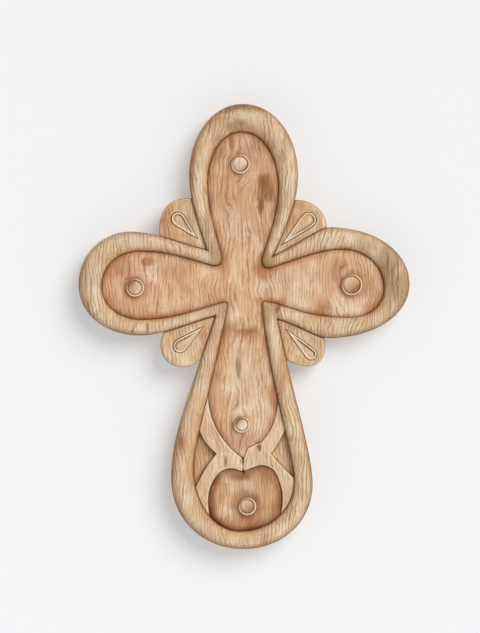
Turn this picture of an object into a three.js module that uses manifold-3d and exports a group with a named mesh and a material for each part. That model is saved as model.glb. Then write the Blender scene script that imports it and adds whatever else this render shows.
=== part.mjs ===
// A wooden wall cross with four rounded lobes, built up from shaped and rounded pieces of wood.
// Two halved backing boards carry four rim mouldings, an inner cross, petals, scrolls, a foot panel
// and five turned studs. A brass ring at the back hangs it up.
// Millimetres, +Z up, the front looks along -Y. The origin lies on the flat back at the middle of the
// crossing. Outlines are drawn in (x, z) as seen from the front. Depths are measured forwards from the back.

import * as THREE from 'three';
import Module from 'manifold-3d';
import { mergeVertices } from 'three/addons/utils/BufferGeometryUtils.js';

const wasm = await Module();
wasm.setup();

const at = (x, z) => new THREE.Vector2(x, z);

// The gap between two pieces that meet at a curved or cut face
const glueLine = 0.3;

// Thicknesses, and heights above the backing boards
const boardThick = 9;
const panelThick = 7;
const rimOuterWall = 3.5;
const rimInnerWall = 5;
const rimCrest = 10.5;
const petalThick = 16.5;
const dropProud = 1.2;
const dropPocket = 4;
const scrollThick = 6.5;
const groundThick = 2.5;
const footThick = 7.5;

// Radii of the rounded front edges
const panelRound = 2.4;
const petalRound = 1.5;
const dropRound = 0.8;
const footRound = 3;

// The lobes in clockwise order from the top. Each is described as if it pointed up: before is its left
// side and after its right. reach is the distance from the crossing to its tip, out is half its width and
// fromTip says how far below the tip it is widest. It leaves its corner leaning outwards, and the two
// shares of the side say how long it keeps that lean and how long it runs straight below its widest place.
const topLobe = {
  reach: 121.5,
  shift: -0.7,
  before: { out: 36.6, fromTip: 48.4, leanDegrees: 16.6, pullShare: 0.38, holdShare: 0.3 },
  after: { out: 36.6, fromTip: 48.4, leanDegrees: 24.2, pullShare: 0.38, holdShare: 0.3 },
};
const rightLobe = {
  reach: 111.4,
  shift: -0.7,
  before: { out: 38.7, fromTip: 53.4, leanDegrees: 25.2, pullShare: 0.38, holdShare: 0.15 },
  after: { out: 35.6, fromTip: 54.7, leanDegrees: 15, pullShare: 0.38, holdShare: 0.2 },
};
const bottomLobe = {
  reach: 177.1,
  shift: 0.3,
  before: { out: 46.4, fromTip: 43.6, leanDegrees: 11, pullShare: 0.38, holdShare: 0.19 },
  after: { out: 48.6, fromTip: 47.6, leanDegrees: 17, pullShare: 0.38, holdShare: 0.3 },
};
const leftLobe = {
  reach: 110.7,
  shift: 0,
  before: { out: 33.9, fromTip: 41.3, leanDegrees: 14, pullShare: 0.38, holdShare: 0.3 },
  after: { out: 35.9, fromTip: 35.2, leanDegrees: 13, pullShare: 0.38, holdShare: 0.3 },
};

// The rim inside each lobe: its width at the tip and at the two widest places. lower says how much nearer
// to the crossing the opening is widest, and the other values belong to the opening.
const topRim = {
  tip: 18.8,
  shift: -1,
  before: { width: 12.4, lower: 4.7, leanDegrees: 13, pullShare: 0.38, holdShare: 0.35 },
  after: { width: 13, lower: 8, leanDegrees: 14.5, pullShare: 0.38, holdShare: 0.35 },
};
const rightRim = {
  tip: 17.1,
  shift: 1.7,
  before: { width: 14.5, lower: -7.4, leanDegrees: 18, pullShare: 0.38, holdShare: 0.25 },
  after: { width: 13.9, lower: -14.8, leanDegrees: 13, pullShare: 0.38, holdShare: 0.5 },
};
const bottomRim = {
  tip: 12,
  shift: 2.3,
  before: { width: 12.3, lower: 3.3, leanDegrees: 6.5, pullShare: 0.5, holdShare: 0.12 },
  after: { width: 14.9, lower: 8, leanDegrees: 11.5, pullShare: 0.5, holdShare: 0.12 },
};
const leftRim = {
  tip: 15.5,
  shift: -1.1,
  before: { width: 10.7, lower: 1.3, leanDegrees: 14, pullShare: 0.38, holdShare: 0.4 },
  after: { width: 13, lower: 6.1, leanDegrees: 14, pullShare: 0.38, holdShare: 0.4 },
};

// The four corners between the lobes, clockwise from the upper right, and how far each is rounded
const boardCorners = [
  { x: 19.6, z: 19.1, round: 0 },
  { x: 22.7, z: -22.8, round: 0 },
  { x: -18.9, z: -20.8, round: 0 },
  { x: -24.6, z: 23.4, round: 0 },
];
const panelCorners = [
  { x: 10.4, z: 9.1, round: 3.4 },
  { x: 11.9, z: -10.1, round: 1.6 },
  { x: -9.9, z: -10.7, round: 1.6 },
  { x: -12.9, z: 11.3, round: 2.8 },
];

// The petals in the corners. Each runs out along the two lobes beside it and closes with a round end that
// leaves them at an angle to the corner's diagonal.
const petals = [
  {
    name: 'upper_right',
    first: { run: 40.8, pull: 12.6, splayDegrees: 43 },
    second: { run: 41.1, pull: 10.8, splayDegrees: 47 },
    drop: { tip: 9.9, tipDegrees: 7.4, end: 34.4, endDegrees: 0.6, radius: 4.9 },
  },
  {
    name: 'lower_right',
    first: { run: 34, pull: 18.2, splayDegrees: 37.5 },
    second: { run: 28.3, pull: 20, splayDegrees: 19 },
    drop: { tip: 9.2, tipDegrees: -5, end: 32.6, endDegrees: -1.2, radius: 3.8 },
  },
  {
    name: 'lower_left',
    first: { run: 31.2, pull: 20.9, splayDegrees: 10 },
    second: { run: 36, pull: 18.2, splayDegrees: 14 },
    drop: { tip: 11, tipDegrees: -4, end: 31.1, endDegrees: -4.7, radius: 4.4 },
  },
  {
    name: 'upper_left',
    first: { run: 33, pull: 17, splayDegrees: 41.6 },
    second: { run: 36.2, pull: 16, splayDegrees: 39.6 },
    drop: { tip: 10.1, tipDegrees: -6, end: 28.4, endDegrees: -2.2, radius: 4.4 },
  },
];

// The inner pieces of the lower lobe hang together from the dip in the top of the foot panel, and every
// height among them is measured up from that dip. First how far the dip lies above the lobe's tip.
const dipFromTip = 51.8;

// The point at the foot of the inner upright, and where its edges leave the rim
const uprightPoint = { x: -0.4, rise: 9.2 };
const uprightLeaves = { right: 50.1, left: 53.3 };
const uprightFall = 21;
const uprightSpread = 12.8;
const uprightRise = 9.5;

// The waists of the scrolls: where each starts and ends on the rim, its notch, and the hollows of its two
// curves
const waists = {
  right: {
    from: 28,
    hollowAbove: { x: 24.5, rise: 20.3 },
    notch: { x: 18.7, rise: 12.2 },
    hollowBelow: { x: 24, rise: 5.3 },
    to: -4.2,
  },
  left: {
    from: 28,
    hollowAbove: { x: -27, rise: 19.3 },
    notch: { x: -18.3, rise: 12.2 },
    hollowBelow: { x: -25.5, rise: 4.3 },
    to: -10.1,
  },
};

// The top of the foot panel: its dip, the bends of its two humps, and where it meets the rim
const footDip = { x: -0.4, rise: 0 };
const footBends = {
  right: [
    { x: 6, rise: 2.7 },
    { x: 13.1, rise: 4.3 },
    { x: 20.5, rise: 0.5 },
    { x: 25, rise: -10.2 },
    { x: 26, rise: -18.7 },
  ],
  left: [
    { x: -8.8, rise: 2.2 },
    { x: -16.5, rise: -0.9 },
    { x: -22, rise: -9.9 },
    { x: -23.6, rise: -19.7 },
  ],
};
const footMeets = { right: -28.4, left: -29.7 };

// The studs: how far the two lower ones lie above and below the dip, then the lobe that each is in, how
// far its middle lies from the lobe's tip and to its side, and the radius of its head, and last the one
// shank and head shape that they share
const lowerStudRise = 31.8;
const footStudFall = 22.9;
const panelStuds = [
  { name: 'stud_top', lobe: topLobe, fromTip: 40.6, aside: -2.1, radius: 6.4 },
  { name: 'stud_right', lobe: rightLobe, fromTip: 38.9, aside: -0.1, radius: 7.1 },
  { name: 'stud_lower', lobe: bottomLobe, fromTip: dipFromTip + lowerStudRise, aside: 1.2, radius: 5.5 },
  { name: 'stud_left', lobe: leftLobe, fromTip: 38, aside: -1.8, radius: 6.1 },
];
const footStud = {
  name: 'stud_foot',
  lobe: bottomLobe,
  fromTip: dipFromTip - footStudFall,
  aside: -2.5,
  radius: 6,
};
const studShank = 3.2;
const studShankLength = 5.5;
const studRimHeight = 2.2;
const studRimWidth = 1.3;
const studGroove = 0.7;
const studDomeHeight = 2.4;
// Where the dome starts to fall, as a share of its radius
const studShoulder = 0.8;

// The hanger at the back of the top lobe: its recess, plate, barrel, ring and screws
const hangerFromTip = 29.5;
const recessPlay = 1.5;
const ringRoom = 2.4;
const recessDeep = 6;
const plateLength = 32;
const plateWidth = 10;
const plateThick = 1;
const barrelLength = 9;
const barrelWall = 0.9;
const ringWire = 1.1;
const ringPlay = 0.35;
const ringHalfWidth = 7.5;
const ringLeg = 4;
const screwSpacing = 25;
const screwHead = 2.8;
const screwHeadHeight = 1.3;
const screwHeadEdge = 0.6;
const screwHeadFlat = 1.7;
const screwShank = 1.3;
const screwLength = 8;

// How finely curves are stepped
const riseSteps = [8, 8, 12, 8];
const roundSteps = 9;
const petalSteps = 12;
const waistSteps = 4;
const edgeSteps = 3;
const beadSteps = 8;
const turnedSides = 16;
const wireSides = 8;

// How full the round ends of the lobes are
const roundness = 0.57;
// A distance well beyond the cross, for cutting it apart
const beyond = 3 * bottomLobe.reach;
// How far a cutter reaches past the face that it cuts
const overcut = 1;
// Points of an outline that lie nearer than this to each other count as one
const closest = 0.2;
// The least cosine of half a turn that is followed in full where an outline is moved
const sharpest = 0.3;

const boardMiddle = boardThick / 2;
const panelFront = boardThick + panelThick;
const panelMiddle = boardThick + panelThick / 2;
const footFront = boardThick + footThick;
const halfGap = glueLine / 2;
const hangerHeight = topLobe.reach - hangerFromTip;
const recessWidth = plateLength + 2 * recessPlay;
const recessReach = ringLeg + ringHalfWidth + ringWire + ringRoom;

// Outlines

const backwards = (points) => [...points].reverse();
const placeOf = ({ x, z }) => at(x, z);
const fromDip = ({ x, rise }) => at(x, dipFromTip + rise - bottomLobe.reach);
const turned = (point, quarters) => point.clone().rotateAround(at(0, 0), (-quarters * Math.PI) / 2);
const leaning = (side, hand) => heading(90 - hand * side.leanDegrees);

function heading(degrees) {
  const angle = degrees * THREE.MathUtils.DEG2RAD;
  return at(Math.cos(angle), Math.sin(angle));
}

// The opening that a rim leaves inside its lobe
function openingOf(lobe, rim) {
  const inside = (side, edge) => ({
    out: side.out - edge.width,
    fromTip: side.fromTip + edge.lower - rim.tip,
    leanDegrees: edge.leanDegrees,
    pullShare: edge.pullShare,
    holdShare: edge.holdShare,
  });
  return {
    reach: lobe.reach - rim.tip,
    shift: rim.shift,
    before: inside(lobe.before, rim.before),
    after: inside(lobe.after, rim.after),
  };
}

// One side of an upright lobe, from its corner to its tip. hand is -1 on the left and 1 on the right.
function lobeSide(lobe, side, hand, corner, middle, steps) {
  const start = corner.place.clone().addScaledVector(leaning(side, hand), corner.round);
  const widest = at(hand * side.out, lobe.reach - side.fromTip);
  const tip = at(lobe.shift, lobe.reach);
  const length = start.distanceTo(widest);
  const rise = new THREE.CurvePath();
  if (corner.round > 0) {
    const bend = corner.place.clone().lerp(start, 0.5);
    rise.add(new THREE.QuadraticBezierCurve(middle, bend, start));
  }
  const leave = start.clone().addScaledVector(leaning(side, hand), side.pullShare * length);
  const hold = at(widest.x, widest.y - side.holdShare * length);
  rise.add(new THREE.CubicBezierCurve(start, leave, hold, widest));
  const shoulder = at(widest.x, THREE.MathUtils.lerp(widest.y, tip.y, roundness));
  const crown = at(THREE.MathUtils.lerp(tip.x, widest.x, roundness), tip.y);
  const round = new THREE.CubicBezierCurve(widest, shoulder, crown, tip);
  return [...rise.getSpacedPoints(steps), ...round.getSpacedPoints(roundSteps).slice(1)];
}

// The two sides of each lobe of a cross, each from its corner to the tip, and the middles of its corners
function crossEdges(lobes, corners) {
  const middles = corners.map((corner, index) => {
    const next = (index + 1) % lobes.length;
    const arriving = turned(leaning(lobes[index].after, 1), index);
    const leaving = turned(leaning(lobes[next].before, -1), next);
    return placeOf(corner).addScaledVector(arriving.add(leaving), corner.round / 4);
  });
  const sides = lobes.map((lobe, index) => {
    const side = (shape, hand, number) => {
      const corner = corners.at(number);
      const upright = { place: turned(placeOf(corner), -index), round: corner.round };
      const middle = turned(middles.at(number), -index);
      const points = lobeSide(lobe, shape, hand, upright, middle, riseSteps[index]);
      return points.map((point) => turned(point, index));
    };
    return { before: side(lobe.before, -1, index - 1), after: side(lobe.after, 1, index) };
  });
  return { sides, middles };
}

// A whole lobe's edge from its first corner over the tip to its second
const aroundLobe = ({ before, after }) => [...before, ...backwards(after).slice(1)];

// One closed outline from several stretches, counterclockwise as seen from the front
function loop(...stretches) {
  const apart = (point, index, all) => point.distanceTo(all.at(index - 1)) > closest;
  const points = stretches.flat().filter(apart);
  return THREE.ShapeUtils.isClockWise(points) ? points.reverse() : points;
}

// Moves every edge of a closed outline inwards, or outwards where the distance is negative
function inset(outline, distance) {
  return outline.map((point, index) => {
    const coming = point.clone().sub(outline.at(index - 1)).normalize();
    const going = outline[(index + 1) % outline.length].clone().sub(point).normalize();
    const along = coming.clone().add(going).normalize();
    const stretch = distance / Math.max(along.dot(coming), sharpest);
    return at(point.x - along.y * stretch, point.y + along.x * stretch);
  });
}

// How straight an outline runs through one of its points, as the cosine of its turn there
function straightness(outline, index) {
  const coming = outline[index].clone().sub(outline.at(index - 1)).normalize();
  const going = outline[(index + 1) % outline.length].clone().sub(outline[index]).normalize();
  return coming.dot(going);
}

// Drops each point that an inset would pass, and keeps the sharper corners
function cleared(outline, distance) {
  const moved = inset(outline, distance);
  const after = (index) => (index + 1) % outline.length;
  const passed = outline.findIndex((point, index) => {
    const edge = outline[after(index)].clone().sub(point);
    return edge.dot(moved[after(index)].clone().sub(moved[index])) <= 0;
  });
  if (passed < 0) {
    return outline;
  }
  const straighter = straightness(outline, passed) > straightness(outline, after(passed));
  const dropped = straighter ? passed : after(passed);
  return cleared(outline.toSpliced(dropped, 1), distance);
}

// The outline of a piece that keeps half a glue line from its neighbours
const gapped = (outline) => inset(cleared(outline, halfGap), halfGap);

// The first stretch of a line, up to a length, with no short piece at its end
function stretchOf(points, length, shortest) {
  const kept = [points[0]];
  let left = length;
  for (const point of points.slice(1)) {
    const step = point.distanceTo(kept.at(-1));
    if (step >= left) {
      const end = kept.at(-1).clone().lerp(point, left / step);
      return [...(left < shortest ? kept.slice(0, -1) : kept), end];
    }
    left -= step;
    kept.push(point);
  }
  return kept;
}

// Cuts a line that falls towards the foot into stretches, at several heights
function cutAtHeights(points, heights) {
  const stretches = [[points[0]]];
  points.slice(1).forEach((point, index) => {
    const last = points[index];
    const crossed = heights.filter((height) => height < last.y && height >= point.y);
    for (const height of crossed) {
      const cut = last.clone().lerp(point, (last.y - height) / (last.y - point.y));
      stretches.at(-1).push(cut);
      stretches.push([cut]);
    }
    stretches.at(-1).push(point);
  });
  return stretches;
}

// Solids

// A closed body from its corners and triangles, with its faces turned outwards
function body(corners, triangles) {
  const volume = triangles.reduce((sum, [a, b, c]) => {
    const across = new THREE.Vector3().crossVectors(corners[b], corners[c]);
    return sum + corners[a].dot(across);
  }, 0);
  const outwards = volume < 0 ? triangles.map(([a, b, c]) => [a, c, b]) : triangles;
  const geometry = new THREE.BufferGeometry().setFromPoints(corners);
  geometry.setIndex(outwards.flat());
  return geometry;
}

// The walls between closed rings that follow one another, each with as many corners as the next
function walls(rings, size) {
  const triangles = [];
  for (let ring = 0; ring < rings - 1; ring += 1) {
    for (let corner = 0; corner < size; corner += 1) {
      const next = (corner + 1) % size;
      const low = ring * size;
      const high = low + size;
      triangles.push([low + corner, low + next, high + next], [low + corner, high + next, high + corner]);
    }
  }
  return triangles;
}

// Outlines laid one over another from the back to the front
function layered(layers) {
  const size = layers[0].outline.length;
  const corners = layers.flatMap(({ outline, depth }) =>
    outline.map(({ x, y }) => new THREE.Vector3(x, -depth, y)),
  );
  const cap = (outline) => THREE.ShapeUtils.triangulateShape(outline, []);
  const front = (layers.length - 1) * size;
  return body(corners, [
    ...walls(layers.length, size),
    ...cap(layers[0].outline).map(([a, b, c]) => [a, c, b]),
    ...cap(layers.at(-1).outline).map((triangle) => triangle.map((corner) => corner + front)),
  ]);
}

// A slab between two depths, with its front edge rounded over
function slab(drawn, back, front, round = 0) {
  const outline = cleared(drawn, round);
  const layers = [{ outline, depth: back }];
  if (round > 0) {
    for (let step = 0; step <= edgeSteps; step += 1) {
      const angle = ((step / edgeSteps) * Math.PI) / 2;
      const depth = front - round * (1 - Math.sin(angle));
      layers.push({ outline: inset(outline, round * (1 - Math.cos(angle))), depth });
    }
  } else {
    layers.push({ outline, depth: front });
  }
  return layered(layers);
}

// A round bar along the depth
function pin(place, radius, back, front) {
  const geometry = new THREE.CylinderGeometry(radius, radius, front - back, turnedSides);
  return geometry.translate(place.x, -(back + front) / 2, place.y);
}

function toSolid(geometry) {
  const bare = geometry.clone();
  bare.deleteAttribute('normal');
  bare.deleteAttribute('uv');
  const welded = mergeVertices(bare, 1e-4);
  const vertProperties = new Float32Array(welded.attributes.position.array);
  const triVerts = new Uint32Array(welded.index.array);
  return new wasm.Manifold(new wasm.Mesh({ numProp: 3, vertProperties, triVerts }));
}

function toGeometry(solid) {
  const { vertProperties, triVerts } = solid.getMesh();
  const geometry = new THREE.BufferGeometry();
  geometry.setAttribute('position', new THREE.BufferAttribute(vertProperties, 3));
  geometry.setIndex(new THREE.BufferAttribute(triVerts, 1));
  return geometry;
}

function cutAway(geometry, ...cutters) {
  const left = cutters.reduce((solid, cutter) => solid.subtract(toSolid(cutter)), toSolid(geometry));
  return toGeometry(left);
}

const keepInside = (geometry, keeper) => toGeometry(toSolid(geometry).intersect(toSolid(keeper)));

const joined = (first, ...others) =>
  toGeometry(others.reduce((solid, other) => solid.add(toSolid(other)), toSolid(first)));

// Halves a cross at its crossing: the upright keeps the front there and the crossbar the back
function halved(whole, [upperRight, lowerRight, lowerLeft, upperLeft], back, middle, front) {
  const farRight = [at(beyond, -beyond), at(beyond, beyond)];
  const farLeft = [at(-beyond, beyond), at(-beyond, -beyond)];
  const uprightPlace = [
    upperRight, farRight[1], farLeft[0], upperLeft, lowerLeft, farLeft[1], farRight[0], lowerRight,
  ];
  const crossbarPlace = [
    farRight[1], upperRight, upperLeft, farLeft[0], farLeft[1], lowerLeft, lowerRight, farRight[0],
  ];
  const crossing = inset([upperRight, upperLeft, lowerLeft, lowerRight], -halfGap);
  const shareOf = (place) => keepInside(whole, slab(inset(place, halfGap), back - overcut, front + overcut));
  return {
    upright: cutAway(shareOf(uprightPlace), slab(crossing, back - overcut, middle)),
    crossbar: cutAway(shareOf(crossbarPlace), slab(crossing, middle, front + overcut)),
  };
}

// A rim moulding swept along a lobe, with mitred ends
function rimMoulding(outer, inner) {
  const last = outer.length - 1;
  const sections = outer.map((outside, index) => {
    const across = inner[index].clone().sub(outside).normalize();
    const neighbour = index === last ? outer[index - 1] : outer[Math.min(index + 1, last)];
    const square = at(-across.y, across.x);
    const side = Math.sign(square.dot(neighbour.clone().sub(outside)));
    const shift = index === 0 || index === last ? side * halfGap : 0;
    const from = outside.clone().addScaledVector(across, halfGap).addScaledVector(square, shift);
    const to = inner[index].clone().addScaledVector(across, -halfGap).addScaledVector(square, shift);
    return beadSection(from, to);
  });
  const size = sections[0].length;
  const fan = Array.from({ length: size - 2 }, (_, corner) => [0, corner + 1, corner + 2]);
  return body(sections.flat(), [
    ...walls(sections.length, size),
    ...fan.map(([a, b, c]) => [a, c, b]),
    ...fan.map((triangle) => triangle.map((corner) => corner + last * size)),
  ]);
}

// The section of the rim between its outer and its inner edge: two walls and a convex bead
function beadSection(from, to) {
  const section = [new THREE.Vector3(from.x, -boardThick, from.y)];
  for (let step = 0; step <= beadSteps; step += 1) {
    const angle = (step / beadSteps) * Math.PI;
    const place = from.clone().lerp(to, (1 - Math.cos(angle)) / 2);
    const wall = THREE.MathUtils.lerp(rimOuterWall, rimInnerWall, step / beadSteps);
    const height = wall + (rimCrest - wall) * Math.sin(angle);
    section.push(new THREE.Vector3(place.x, -(boardThick + height), place.y));
  }
  section.push(new THREE.Vector3(to.x, -boardThick, to.y));
  return section;
}

// The outline of a petal between two lobes' edges, which both start at the corner
function petalOutline({ first, second }, corner, firstEdge, secondEdge) {
  const diagonal = THREE.MathUtils.RAD2DEG * corner.angle();
  const there = stretchOf(firstEdge, first.run, petalRound);
  const back = stretchOf(secondEdge, second.run, petalRound);
  const leave = there.at(-1).clone().addScaledVector(heading(diagonal - first.splayDegrees), first.pull);
  const arrive = back.at(-1).clone().addScaledVector(heading(diagonal + second.splayDegrees), second.pull);
  const end = new THREE.CubicBezierCurve(there.at(-1), leave, arrive, back.at(-1));
  return loop(there, end.getSpacedPoints(petalSteps), backwards(back));
}

// A teardrop in a petal: a point towards the corner and a round end away from it
function dropOutline({ tip, tipDegrees, end, endDegrees, radius }, corner, diagonal) {
  const point = corner.clone().addScaledVector(heading(diagonal + tipDegrees), tip);
  const middle = corner.clone().addScaledVector(heading(diagonal + endDegrees), end);
  const away = middle.clone().sub(point);
  const touching = Math.PI - Math.acos(radius / away.length());
  const arc = Array.from({ length: roundSteps + 1 }, (_, step) => {
    const angle = away.angle() - touching + (2 * touching * step) / roundSteps;
    return at(middle.x + radius * Math.cos(angle), middle.y + radius * Math.sin(angle));
  });
  return loop([point], arc);
}

// Turned, drawn and bent pieces

// A piece turned about an axis along the depth; its profile lists radius and height above its seat
function turnedPiece(profile, place, seat, forwards = 1) {
  const points = profile.map(([radius, height]) => at(radius, height));
  const geometry = new THREE.LatheGeometry(points, turnedSides);
  geometry.rotateX(forwards > 0 ? Math.PI : 0);
  return geometry.translate(place.x, -seat, place.y);
}

function studProfile(radius) {
  const groove = radius - studRimWidth;
  return [
    [0, -studShankLength],
    [studShank, -studShankLength],
    [studShank, 0],
    [radius, 0],
    [radius, studRimHeight - studRimWidth / 2],
    [radius - studRimWidth / 2, studRimHeight],
    [groove, studRimHeight - studGroove],
    [groove * studShoulder, studDomeHeight - studGroove / 2],
    [0, studDomeHeight],
  ];
}

function screwProfile() {
  return [
    [0, -screwLength],
    [screwShank, -screwLength],
    [screwShank, 0],
    [screwHead, 0],
    [screwHead, screwHeadEdge],
    [screwHeadFlat, screwHeadHeight],
    [0, screwHeadHeight],
  ];
}

// The ring: a bar that turns in the barrel and a bow that hangs from its ends
function hangerRing(pivotDepth) {
  const legs = [1, -1].map((side) => new THREE.Vector3(side * ringHalfWidth, -pivotDepth, hangerHeight));
  const bend = Array.from({ length: roundSteps }, (_, step) => {
    const angle = (step / (roundSteps - 1)) * Math.PI;
    const drop = ringLeg + ringHalfWidth * Math.sin(angle);
    return new THREE.Vector3(ringHalfWidth * Math.cos(angle), -pivotDepth, hangerHeight - drop);
  });
  const path = new THREE.CatmullRomCurve3([legs[0], ...bend, legs[1]]);
  const section = new THREE.Shape().absarc(0, 0, ringWire, 0, 2 * Math.PI);
  const wire = new THREE.Shape(section.getSpacedPoints(wireSides));
  const bow = new THREE.ExtrudeGeometry(wire, { steps: 2 * roundSteps, extrudePath: path });
  const bar = new THREE.CylinderGeometry(ringWire, ringWire, 2 * (ringHalfWidth + ringWire), wireSides);
  bar.rotateZ(Math.PI / 2).translate(0, -pivotDepth, hangerHeight);
  return joined(bow, bar);
}

// The plate with its rolled barrel, drilled for two screws
function hangerPlate(pivotDepth) {
  const front = recessDeep - plateThick;
  const plate = new THREE.BoxGeometry(plateLength, plateThick, plateWidth);
  plate.translate(0, -(recessDeep + front) / 2, hangerHeight);
  const boreRadius = ringWire + ringPlay;
  const roll = new THREE.Shape().absarc(0, 0, boreRadius + barrelWall, 0, 2 * Math.PI);
  roll.holes.push(new THREE.Path().absarc(0, 0, boreRadius, 0, 2 * Math.PI, true));
  const length = { depth: barrelLength, bevelEnabled: false, curveSegments: turnedSides / 2 };
  const barrel = new THREE.ExtrudeGeometry(roll, length);
  barrel.rotateY(Math.PI / 2).translate(-barrelLength / 2, -pivotDepth, hangerHeight);
  const boreLength = 2 * (ringHalfWidth + ringWire + ringPlay);
  const bore = new THREE.CylinderGeometry(boreRadius, boreRadius, boreLength, turnedSides);
  bore.rotateZ(Math.PI / 2).translate(0, -pivotDepth, hangerHeight);
  const holes = screwPlaces().map((place) =>
    pin(place, screwShank + glueLine, front - overcut, recessDeep + overcut),
  );
  return cutAway(joined(plate, barrel), bore, ...holes);
}

const screwPlaces = () => [-1, 1].map((side) => at((side * screwSpacing) / 2, hangerHeight));

// The routed recess that holds the hanger below the back face
function hangerRecess() {
  const recess = new THREE.BoxGeometry(recessWidth, 2 * recessDeep, 2 * recessReach);
  return recess.translate(0, 0, hangerHeight);
}

// Materials

const wood = (color, roughness) => new THREE.MeshStandardMaterial({ color, roughness, metalness: 0 });
const rimWood = wood(0xd0ac7c, 0.7);
const panelWood = wood(0xc9905f, 0.68);
const petalWood = wood(0xcda272, 0.7);
const paleWood = wood(0xe2bf94, 0.62);
const darkWood = wood(0x9c6f40, 0.75);
const boardWood = wood(0xb98f62, 0.8);
const brass = new THREE.MeshStandardMaterial({ color: 0xb08d4a, roughness: 0.35, metalness: 1 });

// The cross

const cross = new THREE.Group();

function add(name, geometry, material) {
  const mesh = new THREE.Mesh(geometry, material);
  mesh.name = name;
  cross.add(mesh);
}

const lobes = [topLobe, rightLobe, bottomLobe, leftLobe];
const rims = [topRim, rightRim, bottomRim, leftRim];
const openings = lobes.map((lobe, index) => openingOf(lobe, rims[index]));
const outer = crossEdges(lobes, boardCorners);
const inner = crossEdges(openings, panelCorners);
const pivotDepth = recessDeep - ringWire - ringPlay - barrelWall;

// The backing boards, with the recess and the screw holes at the back
const boardOutline = gapped(loop(...outer.sides.map(aroundLobe)));
const boardJoints = boardCorners.map(placeOf);
const boards = halved(slab(boardOutline, 0, boardThick), boardJoints, 0, boardMiddle, boardThick);
const screwHoles = screwPlaces().map((place) =>
  pin(place, screwShank + glueLine, 0, recessDeep - plateThick + screwLength + glueLine),
);
add('back_upright', cutAway(boards.upright, hangerRecess(), ...screwHoles), boardWood);
add('back_crossbar', boards.crossbar, boardWood);

// The rims
['rim_top', 'rim_right', 'rim_bottom', 'rim_left'].forEach((name, index) => {
  const rim = rimMoulding(aroundLobe(outer.sides[index]), aroundLobe(inner.sides[index]));
  add(name, index === 0 ? cutAway(rim, ...screwHoles) : rim, rimWood);
});

// The lower opening, shared out among the upright, the scrolls, their grounds and the foot panel
function lowerHalf(edge, hand) {
  const side = hand > 0 ? 'right' : 'left';
  const waist = waists[side];
  const levels = [uprightLeaves[side], waist.from, waist.to, footMeets[side]];
  const heights = levels.map((rise) => fromDip({ x: 0, rise }).y);
  const [beside, horn, field, cheek, under] = cutAtHeights(edge, heights);
  const leaves = beside.at(-1);
  const spread = at(point.x + hand * uprightSpread, point.y + uprightRise);
  const fall = at(leaves.x, leaves.y - uprightFall);
  const end = new THREE.CubicBezierCurve(leaves, fall, spread, point).getPoints(roundSteps);
  const notch = fromDip(waist.notch);
  const above = new THREE.QuadraticBezierCurve(horn.at(-1), fromDip(waist.hollowAbove), notch);
  const below = new THREE.QuadraticBezierCurve(notch, fromDip(waist.hollowBelow), cheek[0]);
  const hollows = [...above.getPoints(waistSteps), ...below.getPoints(waistSteps).slice(1)];
  const humps = [footDip, ...footBends[side]].map(fromDip);
  const top = new THREE.SplineCurve([...humps, under[0]]).getPoints(2 * roundSteps);
  return { beside, end, horn, field, cheek, under, hollows, top };
}
const point = fromDip(uprightPoint);
const lower = {
  right: lowerHalf(inner.sides[2].before, 1),
  left: lowerHalf(inner.sides[2].after, -1),
};

// The inner cross, halved like the boards, with blind holes for the studs and the hanger's screws
const innerOutline = loop(
  aroundLobe(inner.sides[0]),
  aroundLobe(inner.sides[1]),
  lower.right.beside,
  lower.right.end,
  backwards(lower.left.end),
  backwards(lower.left.beside),
  aroundLobe(inner.sides[3]),
);
const studPlace = ({ lobe, fromTip, aside }) =>
  turned(at(aside, lobe.reach - fromTip), lobes.indexOf(lobe));
const studHole = (stud, front) =>
  pin(studPlace(stud), studShank + glueLine, front - studShankLength - glueLine, front + overcut);
const innerCross = slab(gapped(innerOutline), boardThick, panelFront, panelRound);
const panels = halved(innerCross, inner.middles, boardThick, panelMiddle, panelFront);
const panelHoles = panelStuds.map((stud) => studHole(stud, panelFront));
add('inner_upright', cutAway(panels.upright, ...panelHoles, ...screwHoles), panelWood);
add('inner_crossbar', cutAway(panels.crossbar, ...panelHoles), panelWood);

// The scrolls, the low fields beside them and the foot panel
for (const [side, half] of Object.entries(lower)) {
  const towardsMiddle = [backwards(half.top), [point], backwards(half.end)];
  const scroll = loop(half.horn, half.hollows, half.cheek, ...towardsMiddle);
  const field = loop(half.field, backwards(half.hollows));
  add(`scroll_${side}`, slab(gapped(scroll), boardThick, boardThick + scrollThick), paleWood);
  add(`ground_${side}`, slab(gapped(field), boardThick, boardThick + groundThick), darkWood);
}
const footOutline = loop(
  lower.right.top,
  lower.right.under,
  backwards(lower.left.under),
  backwards(lower.left.top),
);
const foot = slab(gapped(footOutline), boardThick, footFront, footRound);
add('foot_panel', cutAway(foot, studHole(footStud, footFront)), panelWood);

// The petals with their teardrops
petals.forEach((petal, index) => {
  const next = (index + 1) % lobes.length;
  const corner = boardJoints[index];
  const outline = petalOutline(petal, corner, outer.sides[index].after, outer.sides[next].before);
  const drop = dropOutline(petal.drop, corner, 45 - 90 * index);
  const floor = petalThick - dropPocket;
  const block = slab(gapped(outline), 0, petalThick, petalRound);
  const pocket = slab(inset(drop, -glueLine), floor, petalThick + overcut);
  add(`petal_${petal.name}`, cutAway(block, pocket), petalWood);
  add(`drop_${petal.name}`, slab(drop, floor, petalThick + dropProud, dropRound), paleWood);
});

// The studs
function addStud(stud, seat) {
  add(stud.name, turnedPiece(studProfile(stud.radius), studPlace(stud), seat), paleWood);
}
panelStuds.forEach((stud) => addStud(stud, panelFront));
addStud(footStud, footFront);

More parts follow.
